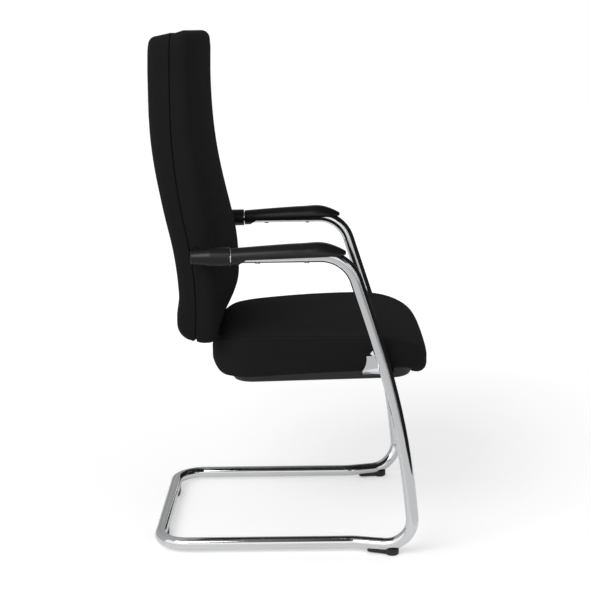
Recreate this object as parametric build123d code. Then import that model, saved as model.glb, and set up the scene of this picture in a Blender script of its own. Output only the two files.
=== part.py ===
from build123d import *
import os
from math import atan2, cos, degrees, pi, radians, sin, sqrt, tan

# Visitor chair on a cantilever frame of bent chromed tube.
# Millimetres. The chair faces +X, +Y is its left side, +Z is up, and the floor is Z = 0.
# The origin lies on the floor under the middle of the chair's overall depth.

# Overall
overall_depth = 564.0       # back of the floor loop to the front of the seat
fit_gap = 0.3               # clearance round a piece that seats in or beside another
weld_gap = 0.1              # clearance at a welded or clamped contact

# Tube frame, lengths measured forwards from the middle of the rear run
tube_d = 25.0
tube_wall = 2.0
floor_clearance = 6.5       # floor to the underside of the tube
arm_half = 273.0            # middle of the chair to an arm tube
leg_splay = 20.0            # how far an arm stands outside the foot of its leg
runner_flare = 30.0         # how far the foot of a leg stands outside its runner
flare_start = 399.5         # where a runner turns outwards
foot_reach = 520.5          # corner under a leg
knee_reach = 494.0          # corner where the leg starts to lean back further
knee_height = 291.5
elbow_reach = 390.0         # corner where the leg turns into the arm
arm_height = 617.5          # middle of the arm tube above the floor
arm_tail = 129.5            # rear end of the arm tube
rear_bend = 60.0
flare_bend = 75.0
foot_bend = 60.0
knee_ease = 170.0           # length of leg that each half of the knee's slow curve takes
elbow_bend = 72.5
splice_length = 90.0        # inner tube that joins the two halves in the rear run
splice_wall = 2.0

# Glides
glide_screw_d = 4.0
screw_slack = 0.5           # hole diameter over screw diameter
front_glide_pad_d = 28.0
front_glide_inset = 46.0    # corner under a leg back to the middle of the pad
front_glide_strap = 50.0    # pad middle to the thin end of the strap
front_glide_width = 17.0
front_glide_thin = 3.0      # strap depth below the tube at its thin end
front_glide_thick = 5.5     # strap depth below the tube at the pad
rear_glide_inset = 95.0     # runner to the middle of a rear glide
rear_glide_length = 40.0
rear_glide_width = 23.0
glide_wrap = 7.0            # how far a glide reaches up the side of the tube
glide_edge = 2.0

# Arm pads
pad_start = 167.5
pad_end = 386.5
pad_collar_d = 33.0
pad_collar_length = 11.0
pad_width = 47.0
pad_rise = 25.5             # crest of the pad above the middle of the tube
pad_skirt = 4.5             # lower edge of the pad below the middle of the tube, near the collar
pad_skirt_tip = 1.5         # lower edge of the pad above the middle of the tube, at the tip
pad_opening_run = 18.0      # length over which the collar opens
pad_crest = 337.5           # where the pad is widest and highest
pad_tuck = 4.0              # how much shallower the underside is at the crest than at the collar
pad_tip_rise = 5.0          # middle of the blunt tip above the middle of the tube
pad_tip_half = 2.5          # half the height of the blunt tip
pad_tip_width = 11.0
pad_nose = 1.6              # how late the crown falls to the tip
pad_screw_d = 5.0
pad_screw_head_d = 9.5
pad_screw_head_h = 1.4
pad_screw_places = (217.5, 311.5)
pad_screw_grip = 4.5        # thread in the pad above the tube

# Arm sleeves and the stubs that carry the back
sleeve_start = 89.5
sleeve_cone_end = 127.5
sleeve_end = 165.5
sleeve_d = 37.0
sleeve_tip_d = 27.0
sleeve_tip_round = 4.0
sleeve_edge = 1.2
stub_d = 20.0
stub_x = 97.5               # rear run to the part of the stub that enters the back
stub_bend = 30.0
stub_insert = 56.0          # length of stub inside the arm tube
stub_depth = 118.0          # back side face to the inner end of the stub
stub_plate_width = 86.0
stub_plate_height = 80.0
stub_plate_thick = 3.0
stub_screw_d = 5.0
stub_screw_head_d = 10.0
stub_screw_head_h = 2.6
stub_screw_inset = 12.0

# Back, depths measured from the side seam
back_bottom = 429.5         # lowest point of the front half
back_rear_bottom = 434.5    # lowest point of the rear half
back_top = 1044.0
back_side_gap = 44.0        # arm tube's middle to the side of the back
back_seam_top = 55.0        # rear run to the seam on the upright part
back_upright = 883.5        # height above which the seam stands upright
back_turn = 658.5           # height where the seam changes its curve
back_low_upright = 512.5    # height where the seam is upright again
back_lean = 11.6            # slope of the seam where it changes its curve, degrees
back_nod = 4.0              # how far the top of the seam leans forwards
back_front_depth = 40.5     # seam to the front edge of the side, at the ends
back_front_swell = 9.5      # added to that depth at the shoulders
shoulder_height = 713.5
shoulder_reach = 260.0
back_rear_top = 43.5
back_rear_low = 34.5
back_rear_flare = 5.0       # added to the rear depth near the bottom
flare_height = 482.0
flare_reach = 45.0
back_crown_top = 15.5
back_crown_lumbar = 28.0
crown_start = 462.0         # height below which the front is nearly flat
crown_growth = 78.0         # height over which the crown then grows
crown_least = 0.8           # crown left at the very bottom
lumbar_height = 583.5
lumbar_reach = 240.0
back_rear_crown = 5.0
back_top_corner = 38.0
back_bottom_corner = 42.0
back_edge_front = 24.0      # rounding where the front face meets the sides
back_edge_rear = 17.0
back_edge_seam = 3.0        # rounding of each half where they meet at the seam
back_end_top = 17.0         # rounding of the front half at its top
back_end_low = 14.0         # rounding of the front half at its bottom
back_end_rear = 30.0        # rounding of the rear half at both ends
back_rear_short = 5.0       # the rear half stops short of the front half at the top
board_inset = 26.0          # board edge inside the upholstered outline
board_thick = 12.0
board_offset = 5.7          # seam to the rear face of the board
board_corner = 40.0

# Seat
seat_rear = 112.5
seat_leg_gap = 25.0         # leg's middle to the side of the seat
seat_narrowing = 50.0       # how much less the half width is at the back, before its corners are rounded
seat_taper = 310.0          # length over which the seat widens
seat_bottom = 379.0         # underside of the board at the pivot of its slope
seat_pivot = 430.0          # rear run to that pivot
seat_tilt = 3.0             # slope of the board, down towards the back, degrees
seat_top_rear = 444.8
seat_top_front = 455.7
seat_crest = 410.0          # rear run to the highest line across the seat
seat_crown = 8.0
seat_rear_corner = 95.0
seat_front_corner = 90.0
seat_rear_round = 45.0      # length of the rounding at the back of the seat's top
seat_rear_drop = 32.0       # height of that rounding
seat_rear_under = 26.0
seat_waterfall = 131.0      # length of the curve down to the front edge
seat_front_drop = 53.0      # height of that curve
seat_front_under = 14.0
seat_front_lip = 17.0       # how far the front edge hangs below the board
seat_lip_run = 14.0         # length over which it drops, in front of the cover
seat_draw_in = 11.0
seat_low_round = 20.0
seat_shoulder = 20.0
seat_board_thick = 12.0
seat_board_inset = 22.0
seat_board_corner = 45.0
seat_board_rear_corner = 80.0
seat_board_front = 505.5
seat_board_rear = 146.0

# Steel under the seat
bridge_rear = 345.5
bridge_front = 479.5
bridge_ear = 417.5          # rear edge of the ends that reach the legs
bridge_thick = 4.0
bridge_tuck = 0.6           # where the ends stop inside the tube's middle, as a share of its radius
bridge_body_inset = 55.0    # seat side to the body of the bridge
bridge_flange = 13.0
bolt_d = 6.0
bolt_head_d = 11.0
bolt_head_h = 4.2
tee_flange_d = 19.0
tee_flange_h = 1.5
tee_barrel_d = 8.5
seat_bolt_half = 105.0
seat_bolt_inset = 22.0      # bolt to the front or rear edge of the bridge
bracket_height = 38.0       # top lip of a bracket above the bridge
bracket_thick = 4.0
bracket_lip = 15.0          # length of the top lip behind the leg
bracket_reach = 22.0        # leg's middle to the inner face of the bracket's web
bracket_tip = 7.0

# Bar between seat and back
bar_width = 50.0
bar_thick = 8.0
bar_bend = 14.0
bar_foot = 118.0            # length under the seat
bar_top = 559.5             # upper end inside the back
bar_back_bolts = (498.5, 538.5)
bar_seat_bolts = (180.0, 216.0)

# Moulded cover under the seat
cover_rear = 144.0
cover_front = 527.0
cover_inset = 14.0          # seat side to the rim of the cover, at the front
cover_rear_inset = 10.0     # the same at the back
cover_depth = 24.5
cover_wall = 2.5
cover_slope = 14.0          # how far the floor of the cover is drawn in from its rim
cover_corner = 50.0
cover_rear_corner = 64.0
cover_floor_edge = 6.0
cover_screw_d = 4.0
cover_screw_head_d = 8.0
cover_screw_head_h = 2.4
cover_boss_d = 11.0
cover_screw_x = (200.0, 305.0)
cover_screw_inset = 90.0    # seat side to a cover screw

# Derived places
rear_x = -overall_depth / 2 + tube_d / 2
seat_front = overall_depth - tube_d / 2
tube_r = tube_d / 2
bore_r = tube_r - tube_wall
runner_z = floor_clearance + tube_r
foot_half = arm_half - leg_splay
runner_half = foot_half - runner_flare
front_glide_reach = foot_reach - front_glide_inset
leg_rise = leg_splay / (arm_height - runner_z)
back_half = arm_half - back_side_gap
seat_half = foot_half + leg_rise * (seat_bottom - runner_z) - seat_leg_gap
seat_rear_half = seat_half - seat_narrowing
board_top = seat_bottom + seat_board_thick
bridge_bottom = seat_bottom - bridge_thick
bridge_body_half = seat_half - bridge_body_inset
cover_bottom = seat_bottom - cover_depth
cover_half = seat_half - cover_inset
cover_rear_half = seat_rear_half - cover_rear_inset
cover_screw_half = seat_half - cover_screw_inset


def at(x, y, z):
    """A point whose x is measured forwards from the rear run of the frame."""
    return (rear_x + x, y, z)


def rounding(distance, radius):
    """How far a surface falls back at a distance from its end when that end is rounded."""
    if distance >= radius:
        return 0.0
    return radius - sqrt(radius**2 - (radius - distance) ** 2)


def upright_cylinder(x, y, z_low, z_high, radius):
    """A round solid that stands on Z, between two heights."""
    return Pos(*at(x, y, z_low)) * extrude(Circle(radius), z_high - z_low)


def leg_half(z):
    """Distance from the middle of the chair to a leg at a height."""
    return foot_half + leg_rise * (z - runner_z)


def leg_x(z):
    """Distance from the rear run to the upper leg's line at a height."""
    return elbow_reach + (knee_reach - elbow_reach) * (arm_height - z) / (arm_height - knee_height)


def seat_plane(x):
    """Height of the underside of the seat board."""
    return seat_bottom - (seat_pivot - x) * tan(radians(seat_tilt))


def sloped(piece):
    """Turn a piece that is drawn level under the seat to the slope of the board."""
    pivot = Pos(*at(seat_pivot, 0, seat_bottom))
    return pivot * Rot(0, -seat_tilt, 0) * pivot.inverse() * piece


# Frame
def frame_path(side):
    """Centre line of one half of the frame, from the arm's tail to the middle of the rear run."""
    corners = [
        at(arm_tail, side * arm_half, arm_height),
        at(elbow_reach, side * arm_half, arm_height),
        at(knee_reach, side * leg_half(knee_height), knee_height),
        at(foot_reach, side * foot_half, runner_z),
        at(flare_start, side * runner_half, runner_z),
        at(0, side * runner_half, runner_z),
        at(0, 0, runner_z),
    ]
    elbow, knee, foot = [Vector(*corner) for corner in corners[1:4]]
    turn = radians((knee - elbow).get_angle(foot - knee))
    knee_bend = knee_ease / tan(turn / 2)
    bends = [elbow_bend, knee_bend, foot_bend, flare_bend, rear_bend]
    return FilletPolyline(*corners, radius=bends)


def along(path, section):
    """Sweep a section that is centred on the start of a path."""
    start = Plane(origin=path @ 0, z_dir=path % 0)
    return sweep(start * section, path=path)


def front_glide_place(side):
    """Frame on the tube's middle line above a front glide, x along the flared run."""
    flare = atan2(foot_half - runner_half, foot_reach - flare_start)
    reach = front_glide_reach - flare_start
    y = runner_half + reach * tan(flare)
    return Pos(*at(front_glide_reach, side * y, runner_z)) * Rot(0, 0, side * degrees(flare))


def rear_glide_place(side):
    """Frame on the rear run's middle line above a rear glide, x along the run."""
    return Pos(*at(0, side * (runner_half - rear_glide_inset), runner_z)) * Rot(0, 0, 90)


def glide_screw_hole(length):
    """Round cut for a glide screw, downwards from the middle of the tube."""
    return Rot(180, 0, 0) * extrude(Circle((glide_screw_d + screw_slack) / 2), length)


def frame_half(side):
    path = frame_path(side)
    tube = along(path, Circle(tube_r) - Circle(bore_r))
    for x in pad_screw_places:
        hole_r = (pad_screw_d + screw_slack) / 2
        tube -= upright_cylinder(x, side * arm_half, arm_height - tube_d, arm_height + tube_d, hole_r)
    tube -= front_glide_place(side) * Pos(-front_glide_strap / 2, 0, 0) * glide_screw_hole(tube_d)
    tube -= rear_glide_place(side) * glide_screw_hole(tube_d)
    return tube


def frame_envelope(side, gap):
    """Filled outline of one half of the frame with a clearance, to cut its neighbours."""
    return along(frame_path(side), Circle(tube_r + gap))


def frame_splice():
    ring = Circle(bore_r - fit_gap) - Circle(bore_r - fit_gap - splice_wall)
    return Pos(*at(0, splice_length / 2, runner_z)) * Rot(90, 0, 0) * extrude(ring, splice_length)


# Glides
def front_glide(side):
    """Saddle glide under the flared run: a thin strap that thickens into a round pad."""
    low = -tube_r - floor_clearance
    pad_r = front_glide_pad_d / 2
    pad = Pos(0, 0, low) * extrude(Circle(pad_r), -low - tube_r + glide_wrap)
    pad = chamfer(pad.edges().group_by(Axis.Z)[0], glide_edge)
    with BuildLine(Plane.XZ) as side_line:
        Polyline(
            (-front_glide_strap, -tube_r - front_glide_thin),
            (0, -tube_r - front_glide_thick),
            (0, -tube_r + glide_wrap),
            (-front_glide_strap, -tube_r + glide_wrap - front_glide_thin / 2),
            close=True,
        )
    strap_side = Plane.XZ * make_face(Plane.XZ.to_local_coords(side_line.line))
    strap = extrude(strap_side, front_glide_width / 2, both=True)
    strap = fillet(strap.edges().filter_by(Axis.Z).group_by(Axis.X)[0], front_glide_width / 3)
    screw_head = Pos(-front_glide_strap / 2, 0, low) * extrude(
        Circle(glide_screw_d), floor_clearance - front_glide_thin + 1
    )
    body = pad + strap - screw_head
    body -= Pos(-front_glide_strap / 2, 0, 0) * glide_screw_hole(-low)
    return front_glide_place(side) * body - frame_envelope(side, weld_gap)


def rear_glide(side):
    """Saddle glide under the rear run."""
    low = -tube_r - floor_clearance
    block = Pos(0, 0, low / 2 - (tube_r - glide_wrap) / 2) * Box(
        rear_glide_length, rear_glide_width, floor_clearance + glide_wrap
    )
    block = fillet(block.edges().filter_by(Axis.Z), rear_glide_width / 4)
    block = chamfer(block.edges().group_by(Axis.Z)[0], glide_edge)
    block -= Pos(0, 0, low) * extrude(Circle(glide_screw_d), floor_clearance / 2)
    block -= glide_screw_hole(-low)
    return rear_glide_place(side) * block - frame_envelope(side, weld_gap)


def glide_screw(recess_top):
    """Countersunk screw with its head in the glide and its point in the tube, below a tube's middle."""
    low = -tube_r - floor_clearance + recess_top
    head = Pos(0, 0, low - 2 * weld_gap - 2) * extrude(Circle(glide_screw_d - screw_slack), 2)
    shank = Pos(0, 0, low - 2 * weld_gap) * extrude(Circle(glide_screw_d / 2), -low - bore_r + 3)
    return head + shank


def glide_screws():
    pieces = []
    for side in (-1, 1):
        front = Pos(-front_glide_strap / 2, 0, 0) * glide_screw(floor_clearance - front_glide_thin + 1)
        pieces.append(front_glide_place(side) * front)
        pieces.append(rear_glide_place(side) * glide_screw(floor_clearance / 2))
    return Compound(children=pieces)


# Arm pads
def pad_section(x, half_width, z_low, z_high):
    """Closed outline across an arm pad: four arcs through its sides, crown and underside."""
    z_side = z_low + 0.45 * (z_high - z_low)
    blend = 0.72
    with BuildSketch(Plane(origin=at(x, 0, 0), x_dir=(0, 1, 0), z_dir=(1, 0, 0))) as section:
        with BuildLine():
            right = (half_width, z_side)
            left = (-half_width, z_side)
            top = (0, z_high)
            bottom = (0, z_low)
            top_right = (half_width * blend, z_side + (z_high - z_side) * blend)
            top_left = (-half_width * blend, z_side + (z_high - z_side) * blend)
            low_right = (half_width * blend, z_side - (z_side - z_low) * blend)
            low_left = (-half_width * blend, z_side - (z_side - z_low) * blend)
            ThreePointArc(right, top_right, top)
            ThreePointArc(top, top_left, left)
            ThreePointArc(left, low_left, bottom)
            ThreePointArc(bottom, low_right, right)
        make_face()
    return section.sketch


def pad_swell(x):
    """0 at the collar, 1 at the crest."""
    share = min(1.0, (x - pad_start) / (pad_crest - pad_start))
    return 0.5 * (share + sin(share * pi / 2))


def pad_nose_share(x):
    """0 up to the crest, 1 at the tip."""
    return min(1.0, max(0.0, (x - pad_crest) / (pad_end - pad_crest)))


def pad_fall(x):
    """1 up to the crest, then falling to 0 at the tip, seen from the side."""
    return 1 - pad_nose_share(x) ** pad_nose


def pad_narrowing(x):
    """1 up to the crest, then falling in a quarter ellipse to 0 at the tip, seen from above."""
    return sqrt(1 - pad_nose_share(x) ** 2)


def pad_top(x):
    """Height of the pad's crown."""
    ring = pad_collar_d / 2
    crest = ring + (pad_rise - ring) * pad_swell(x)
    return arm_height + pad_tip_rise + pad_tip_half + (crest - pad_tip_rise - pad_tip_half) * pad_fall(x)


def pad_under(x):
    """Height of the pad's full underside, before it is opened for the tube."""
    ring = pad_collar_d / 2
    low = -ring + pad_tuck * pad_swell(x)
    return arm_height + pad_tip_rise - pad_tip_half + (low - pad_tip_rise + pad_tip_half) * pad_fall(x)


def pad_half(x):
    """Half width of the pad."""
    ring = pad_collar_d / 2
    wide = ring + (pad_width / 2 - ring) * pad_swell(x)
    return pad_tip_width / 2 + (wide - pad_tip_width / 2) * pad_narrowing(x)


def arm_pad(side):
    """Moulded pad: a collar round the tube, opening below into a crowned rest with a blunt tip."""
    ring = pad_collar_d / 2
    rising = (0.0, 0.1, 0.25, 0.4, 0.55, 0.7, 0.85, 1.0)
    falling = (0.3, 0.55, 0.75, 0.89, 0.97, 1.0)
    places = [pad_start + (pad_crest - pad_start) * share for share in rising]
    places += [pad_crest + (pad_end - pad_crest) * share for share in falling]
    body = loft([pad_section(x, pad_half(x), pad_under(x), pad_top(x)) for x in places])
    opening_x = pad_start + pad_collar_length
    with BuildSketch(Plane.XZ) as below:
        with BuildLine():
            Polyline(
                (rear_x + opening_x, arm_height - 2 * ring),
                (rear_x + opening_x, arm_height - ring),
                (rear_x + opening_x + pad_opening_run, arm_height - pad_skirt),
                (rear_x + pad_end, arm_height + pad_skirt_tip),
                (rear_x + pad_end + ring, arm_height + pad_skirt_tip),
                (rear_x + pad_end + ring, arm_height - 2 * ring),
                close=True,
            )
        make_face()
    body -= extrude(below.sketch, pad_width, both=True)
    body = Pos(0, side * arm_half, 0) * body
    body -= frame_envelope(side, weld_gap)
    for x in pad_screw_places:
        hole_r = (pad_screw_d + weld_gap) / 2
        body -= upright_cylinder(
            x, side * arm_half, arm_height, arm_height + tube_r + pad_screw_grip + fit_gap, hole_r
        )
    return body


def arm_pad_screws():
    """Pan-head screws up through each arm tube into its pad."""
    pieces = []
    for side in (-1, 1):
        for x in pad_screw_places:
            y = side * arm_half
            seat_z = arm_height - tube_r
            head = upright_cylinder(x, y, seat_z - pad_screw_head_h, seat_z, pad_screw_head_d / 2)
            head = fillet(head.edges().group_by(Axis.Z)[0], pad_screw_head_h / 2)
            shank = upright_cylinder(x, y, seat_z, arm_height + tube_r + pad_screw_grip, pad_screw_d / 2)
            pieces.append(head + shank)
    return Compound(children=pieces)


# Arm sleeves and back stubs
def stub_path(side):
    """From inside the back, out through its side, forwards into the arm tube."""
    corners = [
        at(stub_x, side * (back_half - stub_depth), arm_height),
        at(stub_x, side * arm_half, arm_height),
        at(stub_x + stub_bend + stub_insert, side * arm_half, arm_height),
    ]
    return FilletPolyline(*corners, radius=stub_bend)


def stub_plate_y():
    return back_half - stub_depth + stub_plate_width / 2


def stub_screw_places():
    """Offsets of the four screws from the middle of a stub plate."""
    dy = stub_plate_width / 2 - stub_screw_inset
    dz = stub_plate_height / 2 - stub_screw_inset
    return [(y, z) for y in (-dy, dy) for z in (-dz, dz)]


def stub_plate_place(side):
    """Frame in the middle of a stub plate's front face, x square to the board."""
    x = seam_x(arm_height) + board_offset - board_hollow(stub_plate_height) - weld_gap
    return Pos(*at(x, side * stub_plate_y(), arm_height)) * Rot(0, -seam_lean(arm_height), 0)


def back_stub(side):
    """Bent bar welded to a plate on the board; its other end plugs into the arm tube."""
    bar = along(stub_path(side), Circle(stub_d / 2))
    plate = Pos(-stub_plate_thick / 2, 0, 0) * Box(stub_plate_thick, stub_plate_width, stub_plate_height)
    plate = fillet(plate.edges().filter_by(Axis.X), stub_screw_inset)
    hole = Rot(0, 90, 0) * Cylinder((stub_screw_d + screw_slack) / 2, 4 * stub_plate_thick)
    for dy, dz in stub_screw_places():
        plate -= Pos(0, dy, dz) * hole
    return bar + stub_plate_place(side) * plate


def stub_screws():
    pieces = []
    length = stub_plate_thick + board_hollow(stub_plate_height) + 0.7 * board_thick
    for side in (-1, 1):
        for dy, dz in stub_screw_places():
            place = stub_plate_place(side) * Pos(-stub_plate_thick, dy, dz) * Rot(0, 90, 0)
            head = Pos(0, 0, -stub_screw_head_h) * extrude(Circle(stub_screw_head_d / 2), stub_screw_head_h)
            pieces.append(place * (head + extrude(Circle(stub_screw_d / 2), length)))
    return Compound(children=pieces)


def arm_sleeve(side):
    """Moulded sleeve over the tail of the arm tube, coned towards the back of the chair."""
    with BuildSketch(Plane.XZ) as outline:
        with BuildLine():
            Polyline(
                (rear_x + sleeve_start, 0),
                (rear_x + sleeve_start, sleeve_tip_d / 2),
                (rear_x + sleeve_cone_end, sleeve_d / 2),
                (rear_x + sleeve_end, sleeve_d / 2),
                (rear_x + sleeve_end, 0),
                close=True,
            )
        make_face()
    body = revolve(outline.sketch, Axis.X)
    rings = body.edges().filter_by(GeomType.CIRCLE).sort_by(Axis.X)
    body = fillet(rings[1:], sleeve_edge)
    tip = body.edges().filter_by(GeomType.CIRCLE).sort_by(Axis.X)[0]
    body = fillet(tip, sleeve_tip_round)
    body = Pos(0, side * arm_half, arm_height) * body
    body -= frame_envelope(side, weld_gap)
    return body - along(stub_path(side), Circle(stub_d / 2 + fit_gap))


# Back
def seam_x(z):
    """Distance from the rear run to the back's side seam at a height."""
    lean = radians(back_lean)
    upper_r = (back_upright - back_turn) / sin(lean)
    lower_r = (back_turn - back_low_upright) / sin(lean)
    if z >= back_upright:
        nod = (z - back_upright) / (back_top - back_upright)
        return back_seam_top + back_nod * nod**2
    if z >= back_turn:
        return back_seam_top + upper_r - sqrt(upper_r**2 - (back_upright - z) ** 2)
    turn_x = back_seam_top + upper_r * (1 - cos(lean))
    low_x = turn_x + lower_r * (1 - cos(lean))
    return low_x - lower_r + sqrt(lower_r**2 - (z - back_low_upright) ** 2)


def seam_lean(z):
    """Slope of the seam from upright at a height, in degrees, positive where the top leans back."""
    step = 1.0
    return degrees(atan2(seam_x(z - step) - seam_x(z + step), 2 * step))


def board_hollow(height):
    """Gap between the hollow rear of the board and the middle of a flat plate of a given height."""
    lower_r = (back_turn - back_low_upright) / sin(radians(back_lean))
    return height**2 / (8 * lower_r)


def back_half_width(z, low, high):
    """Half width of one half of the back, with its corners rounded as seen from the front."""
    return back_half - max(rounding(high - z, back_top_corner), rounding(z - low, back_bottom_corner))


def bump(offset, reach):
    """1 where the offset is 0, falling smoothly to 0 where it equals the reach."""
    return 0.5 + 0.5 * cos(pi * min(1.0, abs(offset) / reach))


def front_crown(z):
    """How far the middle of the front stands out beyond its sides."""
    if z > lumbar_height:
        return back_crown_top + (back_crown_lumbar - back_crown_top) * bump(z - lumbar_height, lumbar_reach)
    share = min(1.0, max(0.0, (z - crown_start) / crown_growth))
    return crown_least + (back_crown_lumbar - crown_least) * sin(share * pi / 2)


def front_depth(z):
    """Seam to the front edge of the side face."""
    depth = back_front_depth + back_front_swell * bump(z - shoulder_height, shoulder_reach)
    return depth - max(rounding(back_top - z, back_end_top), rounding(z - back_bottom, back_end_low))


def rear_depth(z):
    """Seam to the rear edge of the side face."""
    share = min(1.0, max(0.0, (back_upright - z) / (back_upright - back_low_upright)))
    depth = back_rear_top + (back_rear_low - back_rear_top) * sin(share * pi / 2)
    depth += back_rear_flare * bump(z - flare_height, flare_reach)
    top = back_top - back_rear_short
    return depth - max(rounding(top - z, back_end_rear), rounding(z - back_rear_bottom, back_end_rear))


def half_section(z, width, depth, crown, edge, facing):
    """Level outline of one half of the back; facing is 1 for the front half and -1 for the rear."""
    seam = rear_x + seam_x(z) + facing * fit_gap
    seam_r = min(back_edge_seam, depth * 0.3)
    edge_r = min(edge, depth * 0.6)
    face = seam + facing * depth
    near = seam + facing * seam_r
    far = face - facing * edge_r
    cut = 1 - sqrt(0.5)
    with BuildSketch(Plane.XY.offset(z)) as section:
        with BuildLine():
            Line((seam, -width + seam_r), (seam, width - seam_r))
            ThreePointArc(
                (seam, width - seam_r),
                (seam + facing * seam_r * cut, width - seam_r * cut),
                (near, width),
            )
            Line((near, width), (far, width))
            ThreePointArc(
                (far, width),
                (face - facing * edge_r * cut, width - edge_r * cut),
                (face, width - edge_r),
            )
            ThreePointArc((face, width - edge_r), (face + facing * crown, 0), (face, -width + edge_r))
            ThreePointArc(
                (face, -width + edge_r),
                (face - facing * edge_r * cut, -width + edge_r * cut),
                (far, -width),
            )
            Line((far, -width), (near, -width))
            ThreePointArc(
                (near, -width),
                (seam + facing * seam_r * cut, -width + seam_r * cut),
                (seam, -width + seam_r),
            )
        make_face()
    return section.sketch


def back_stations(low, high):
    """Heights of the sections of one half of the back, close together at its rounded ends."""
    near_ends = (0.0, 0.05, 0.17, 0.4, 0.75, 1.15)
    rise = [low + back_bottom_corner * share for share in near_ends]
    fall = [high - back_top_corner * share for share in reversed(near_ends)]
    span = fall[0] - rise[-1]
    middle = [rise[-1] + span * step / 8 for step in range(1, 8)]
    return rise + middle + fall


def seam_band(front, rear, low, high):
    """Upright slab that follows the seam, between two offsets from it, right across the back."""
    steps = 12
    heights = [low + (high - low) * step / steps for step in range(steps + 1)]
    with BuildSketch(Plane.XZ) as band:
        with BuildLine():
            fore = Spline([(rear_x + seam_x(z) + front, z) for z in heights])
            aft = Spline([(rear_x + seam_x(z) + rear, z) for z in heights])
            Line(fore @ 0, aft @ 0)
            Line(fore @ 1, aft @ 1)
        make_face()
    return extrude(band.sketch, 2 * back_half, both=True)


def board_outline(gap):
    """Front view of the back's board, grown by a clearance, as a slab right through the back."""
    height = back_top - back_rear_bottom - 2 * board_inset
    middle = (back_top + back_rear_bottom) / 2
    sheet = RectangleRounded(2 * (back_half - board_inset + gap), height + 2 * gap, board_corner)
    return Pos(0, 0, middle) * extrude(Plane.YZ * sheet, overall_depth, both=True)


def back_board():
    """Curved plywood board inside the back, slotted at its sides for the stubs."""
    board = seam_band(board_offset + board_thick, board_offset, back_bottom, back_top)
    board = board & board_outline(0)
    for side in (-1, 1):
        inner = back_half - stub_depth - fit_gap
        slot = Box(4 * board_thick, 2 * (back_half - inner), stub_d + 2 * fit_gap)
        board -= Pos(*at(stub_x, side * back_half, arm_height)) * slot
        for dy, dz in stub_screw_places():
            place = stub_plate_place(side) * Pos(0, dy, dz) * Rot(0, 90, 0)
            board -= place * Cylinder((stub_screw_d + weld_gap) / 2, 4 * board_thick)
    for z in bar_back_bolts:
        board -= back_nut_place(z) * Cylinder(tee_barrel_d / 2 + weld_gap, 4 * board_thick)
        board -= back_nut_place(z) * extrude(Circle(tee_flange_d / 2 + weld_gap), board_thick)
    return board


def back_nut_place(z):
    """Frame of a nut let into the rear of the board, z towards the rear of the chair."""
    return Pos(*at(seam_x(z) + board_offset + tee_flange_h + fit_gap, 0, z)) * Rot(0, -90, 0)


def board_pocket():
    """Space that the board and what is fixed to it take out of the back's front half."""
    pocket = seam_band(board_offset + board_thick + fit_gap, -fit_gap, back_bottom, back_top)
    pocket = pocket & board_outline(fit_gap)
    for side in (-1, 1):
        pocket += along(stub_path(side), Circle(stub_d / 2 + fit_gap))
    return pocket


def bar_space():
    """Space for the bar and its bolt heads where it enters the back."""
    x_low = bar_face() - board_thick
    depth = board_thick + bar_thick + bolt_head_h + fit_gap
    height = bar_top - back_bottom + fit_gap
    slot = Box(depth, bar_width + 2 * fit_gap, 2 * height, align=(Align.MIN, Align.CENTER, Align.CENTER))
    return Pos(*at(x_low, 0, back_bottom)) * slot


def back_front_form():
    """Outer form of the back's front half, crowned, with a fuller lumbar."""
    sections = []
    crown_middle = crown_start + crown_growth / 2
    for z in sorted(back_stations(back_bottom, back_top) + [crown_middle]):
        width = back_half_width(z, back_bottom, back_top)
        sections.append(half_section(z, width, front_depth(z), front_crown(z), back_edge_front, 1))
    return loft(sections)


def back_front():
    return back_front_form() - board_pocket() - bar_space()


def back_rear():
    """Rear half of the upholstered back, cleared for the stub plates and screw heads."""
    top = back_top - back_rear_short
    sections = []
    for z in back_stations(back_rear_bottom, top):
        width = back_half_width(z, back_rear_bottom, top)
        sections.append(half_section(z, width, rear_depth(z), back_rear_crown, back_edge_rear, -1))
    body = loft(sections)
    depth = stub_plate_thick + stub_screw_head_h + fit_gap
    recess = Box(
        depth + 2 * board_thick,
        stub_plate_width + 2 * fit_gap,
        stub_plate_height + 2 * fit_gap,
        align=(Align.MIN, Align.CENTER, Align.CENTER),
    )
    for side in (-1, 1):
        body -= stub_plate_place(side) * Pos(-depth, 0, 0) * recess
    return body


# Bar between seat and back
def bar_face():
    """Rear face of the upright part of the bar, against the front of the board."""
    return seam_x(back_low_upright) + board_offset + board_thick + fit_gap


def bar_form(grow):
    """Flat bar under the seat board, bent up behind the seat and into the back, with a clearance."""
    x_mid = bar_face() + bar_thick / 2
    below = bar_thick / 2 / cos(radians(seat_tilt))
    path = FilletPolyline(
        at(x_mid + bar_foot, 0, seat_plane(x_mid + bar_foot) - below),
        at(x_mid, 0, seat_plane(x_mid) - below),
        at(x_mid, 0, bar_top),
        radius=bar_bend + bar_thick / 2,
    )
    start = Plane(origin=path @ 0, x_dir=(0, 1, 0), z_dir=path % 0)
    section = RectangleRounded(bar_width + 2 * grow, bar_thick + 2 * grow, bar_thick * 0.35)
    return sweep(start * section, path=path)


def back_bar():
    bar = bar_form(0)
    hole_r = (bolt_d + screw_slack) / 2
    for z in bar_back_bolts:
        bar -= board_bolt_place(z) * Cylinder(hole_r, 3 * bar_thick)
    for x in bar_seat_bolts:
        bar -= sloped(upright_cylinder(x, 0, seat_bottom - 2 * bar_thick, seat_bottom + bar_thick, hole_r))
    return bar


def bolt(grip):
    """Hexagon bolt along +Z with the underside of its head at the origin."""
    head = Pos(0, 0, -bolt_head_h) * extrude(RegularPolygon(bolt_head_d / 2, 6), bolt_head_h)
    return head + extrude(Circle(bolt_d / 2), grip)


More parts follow.
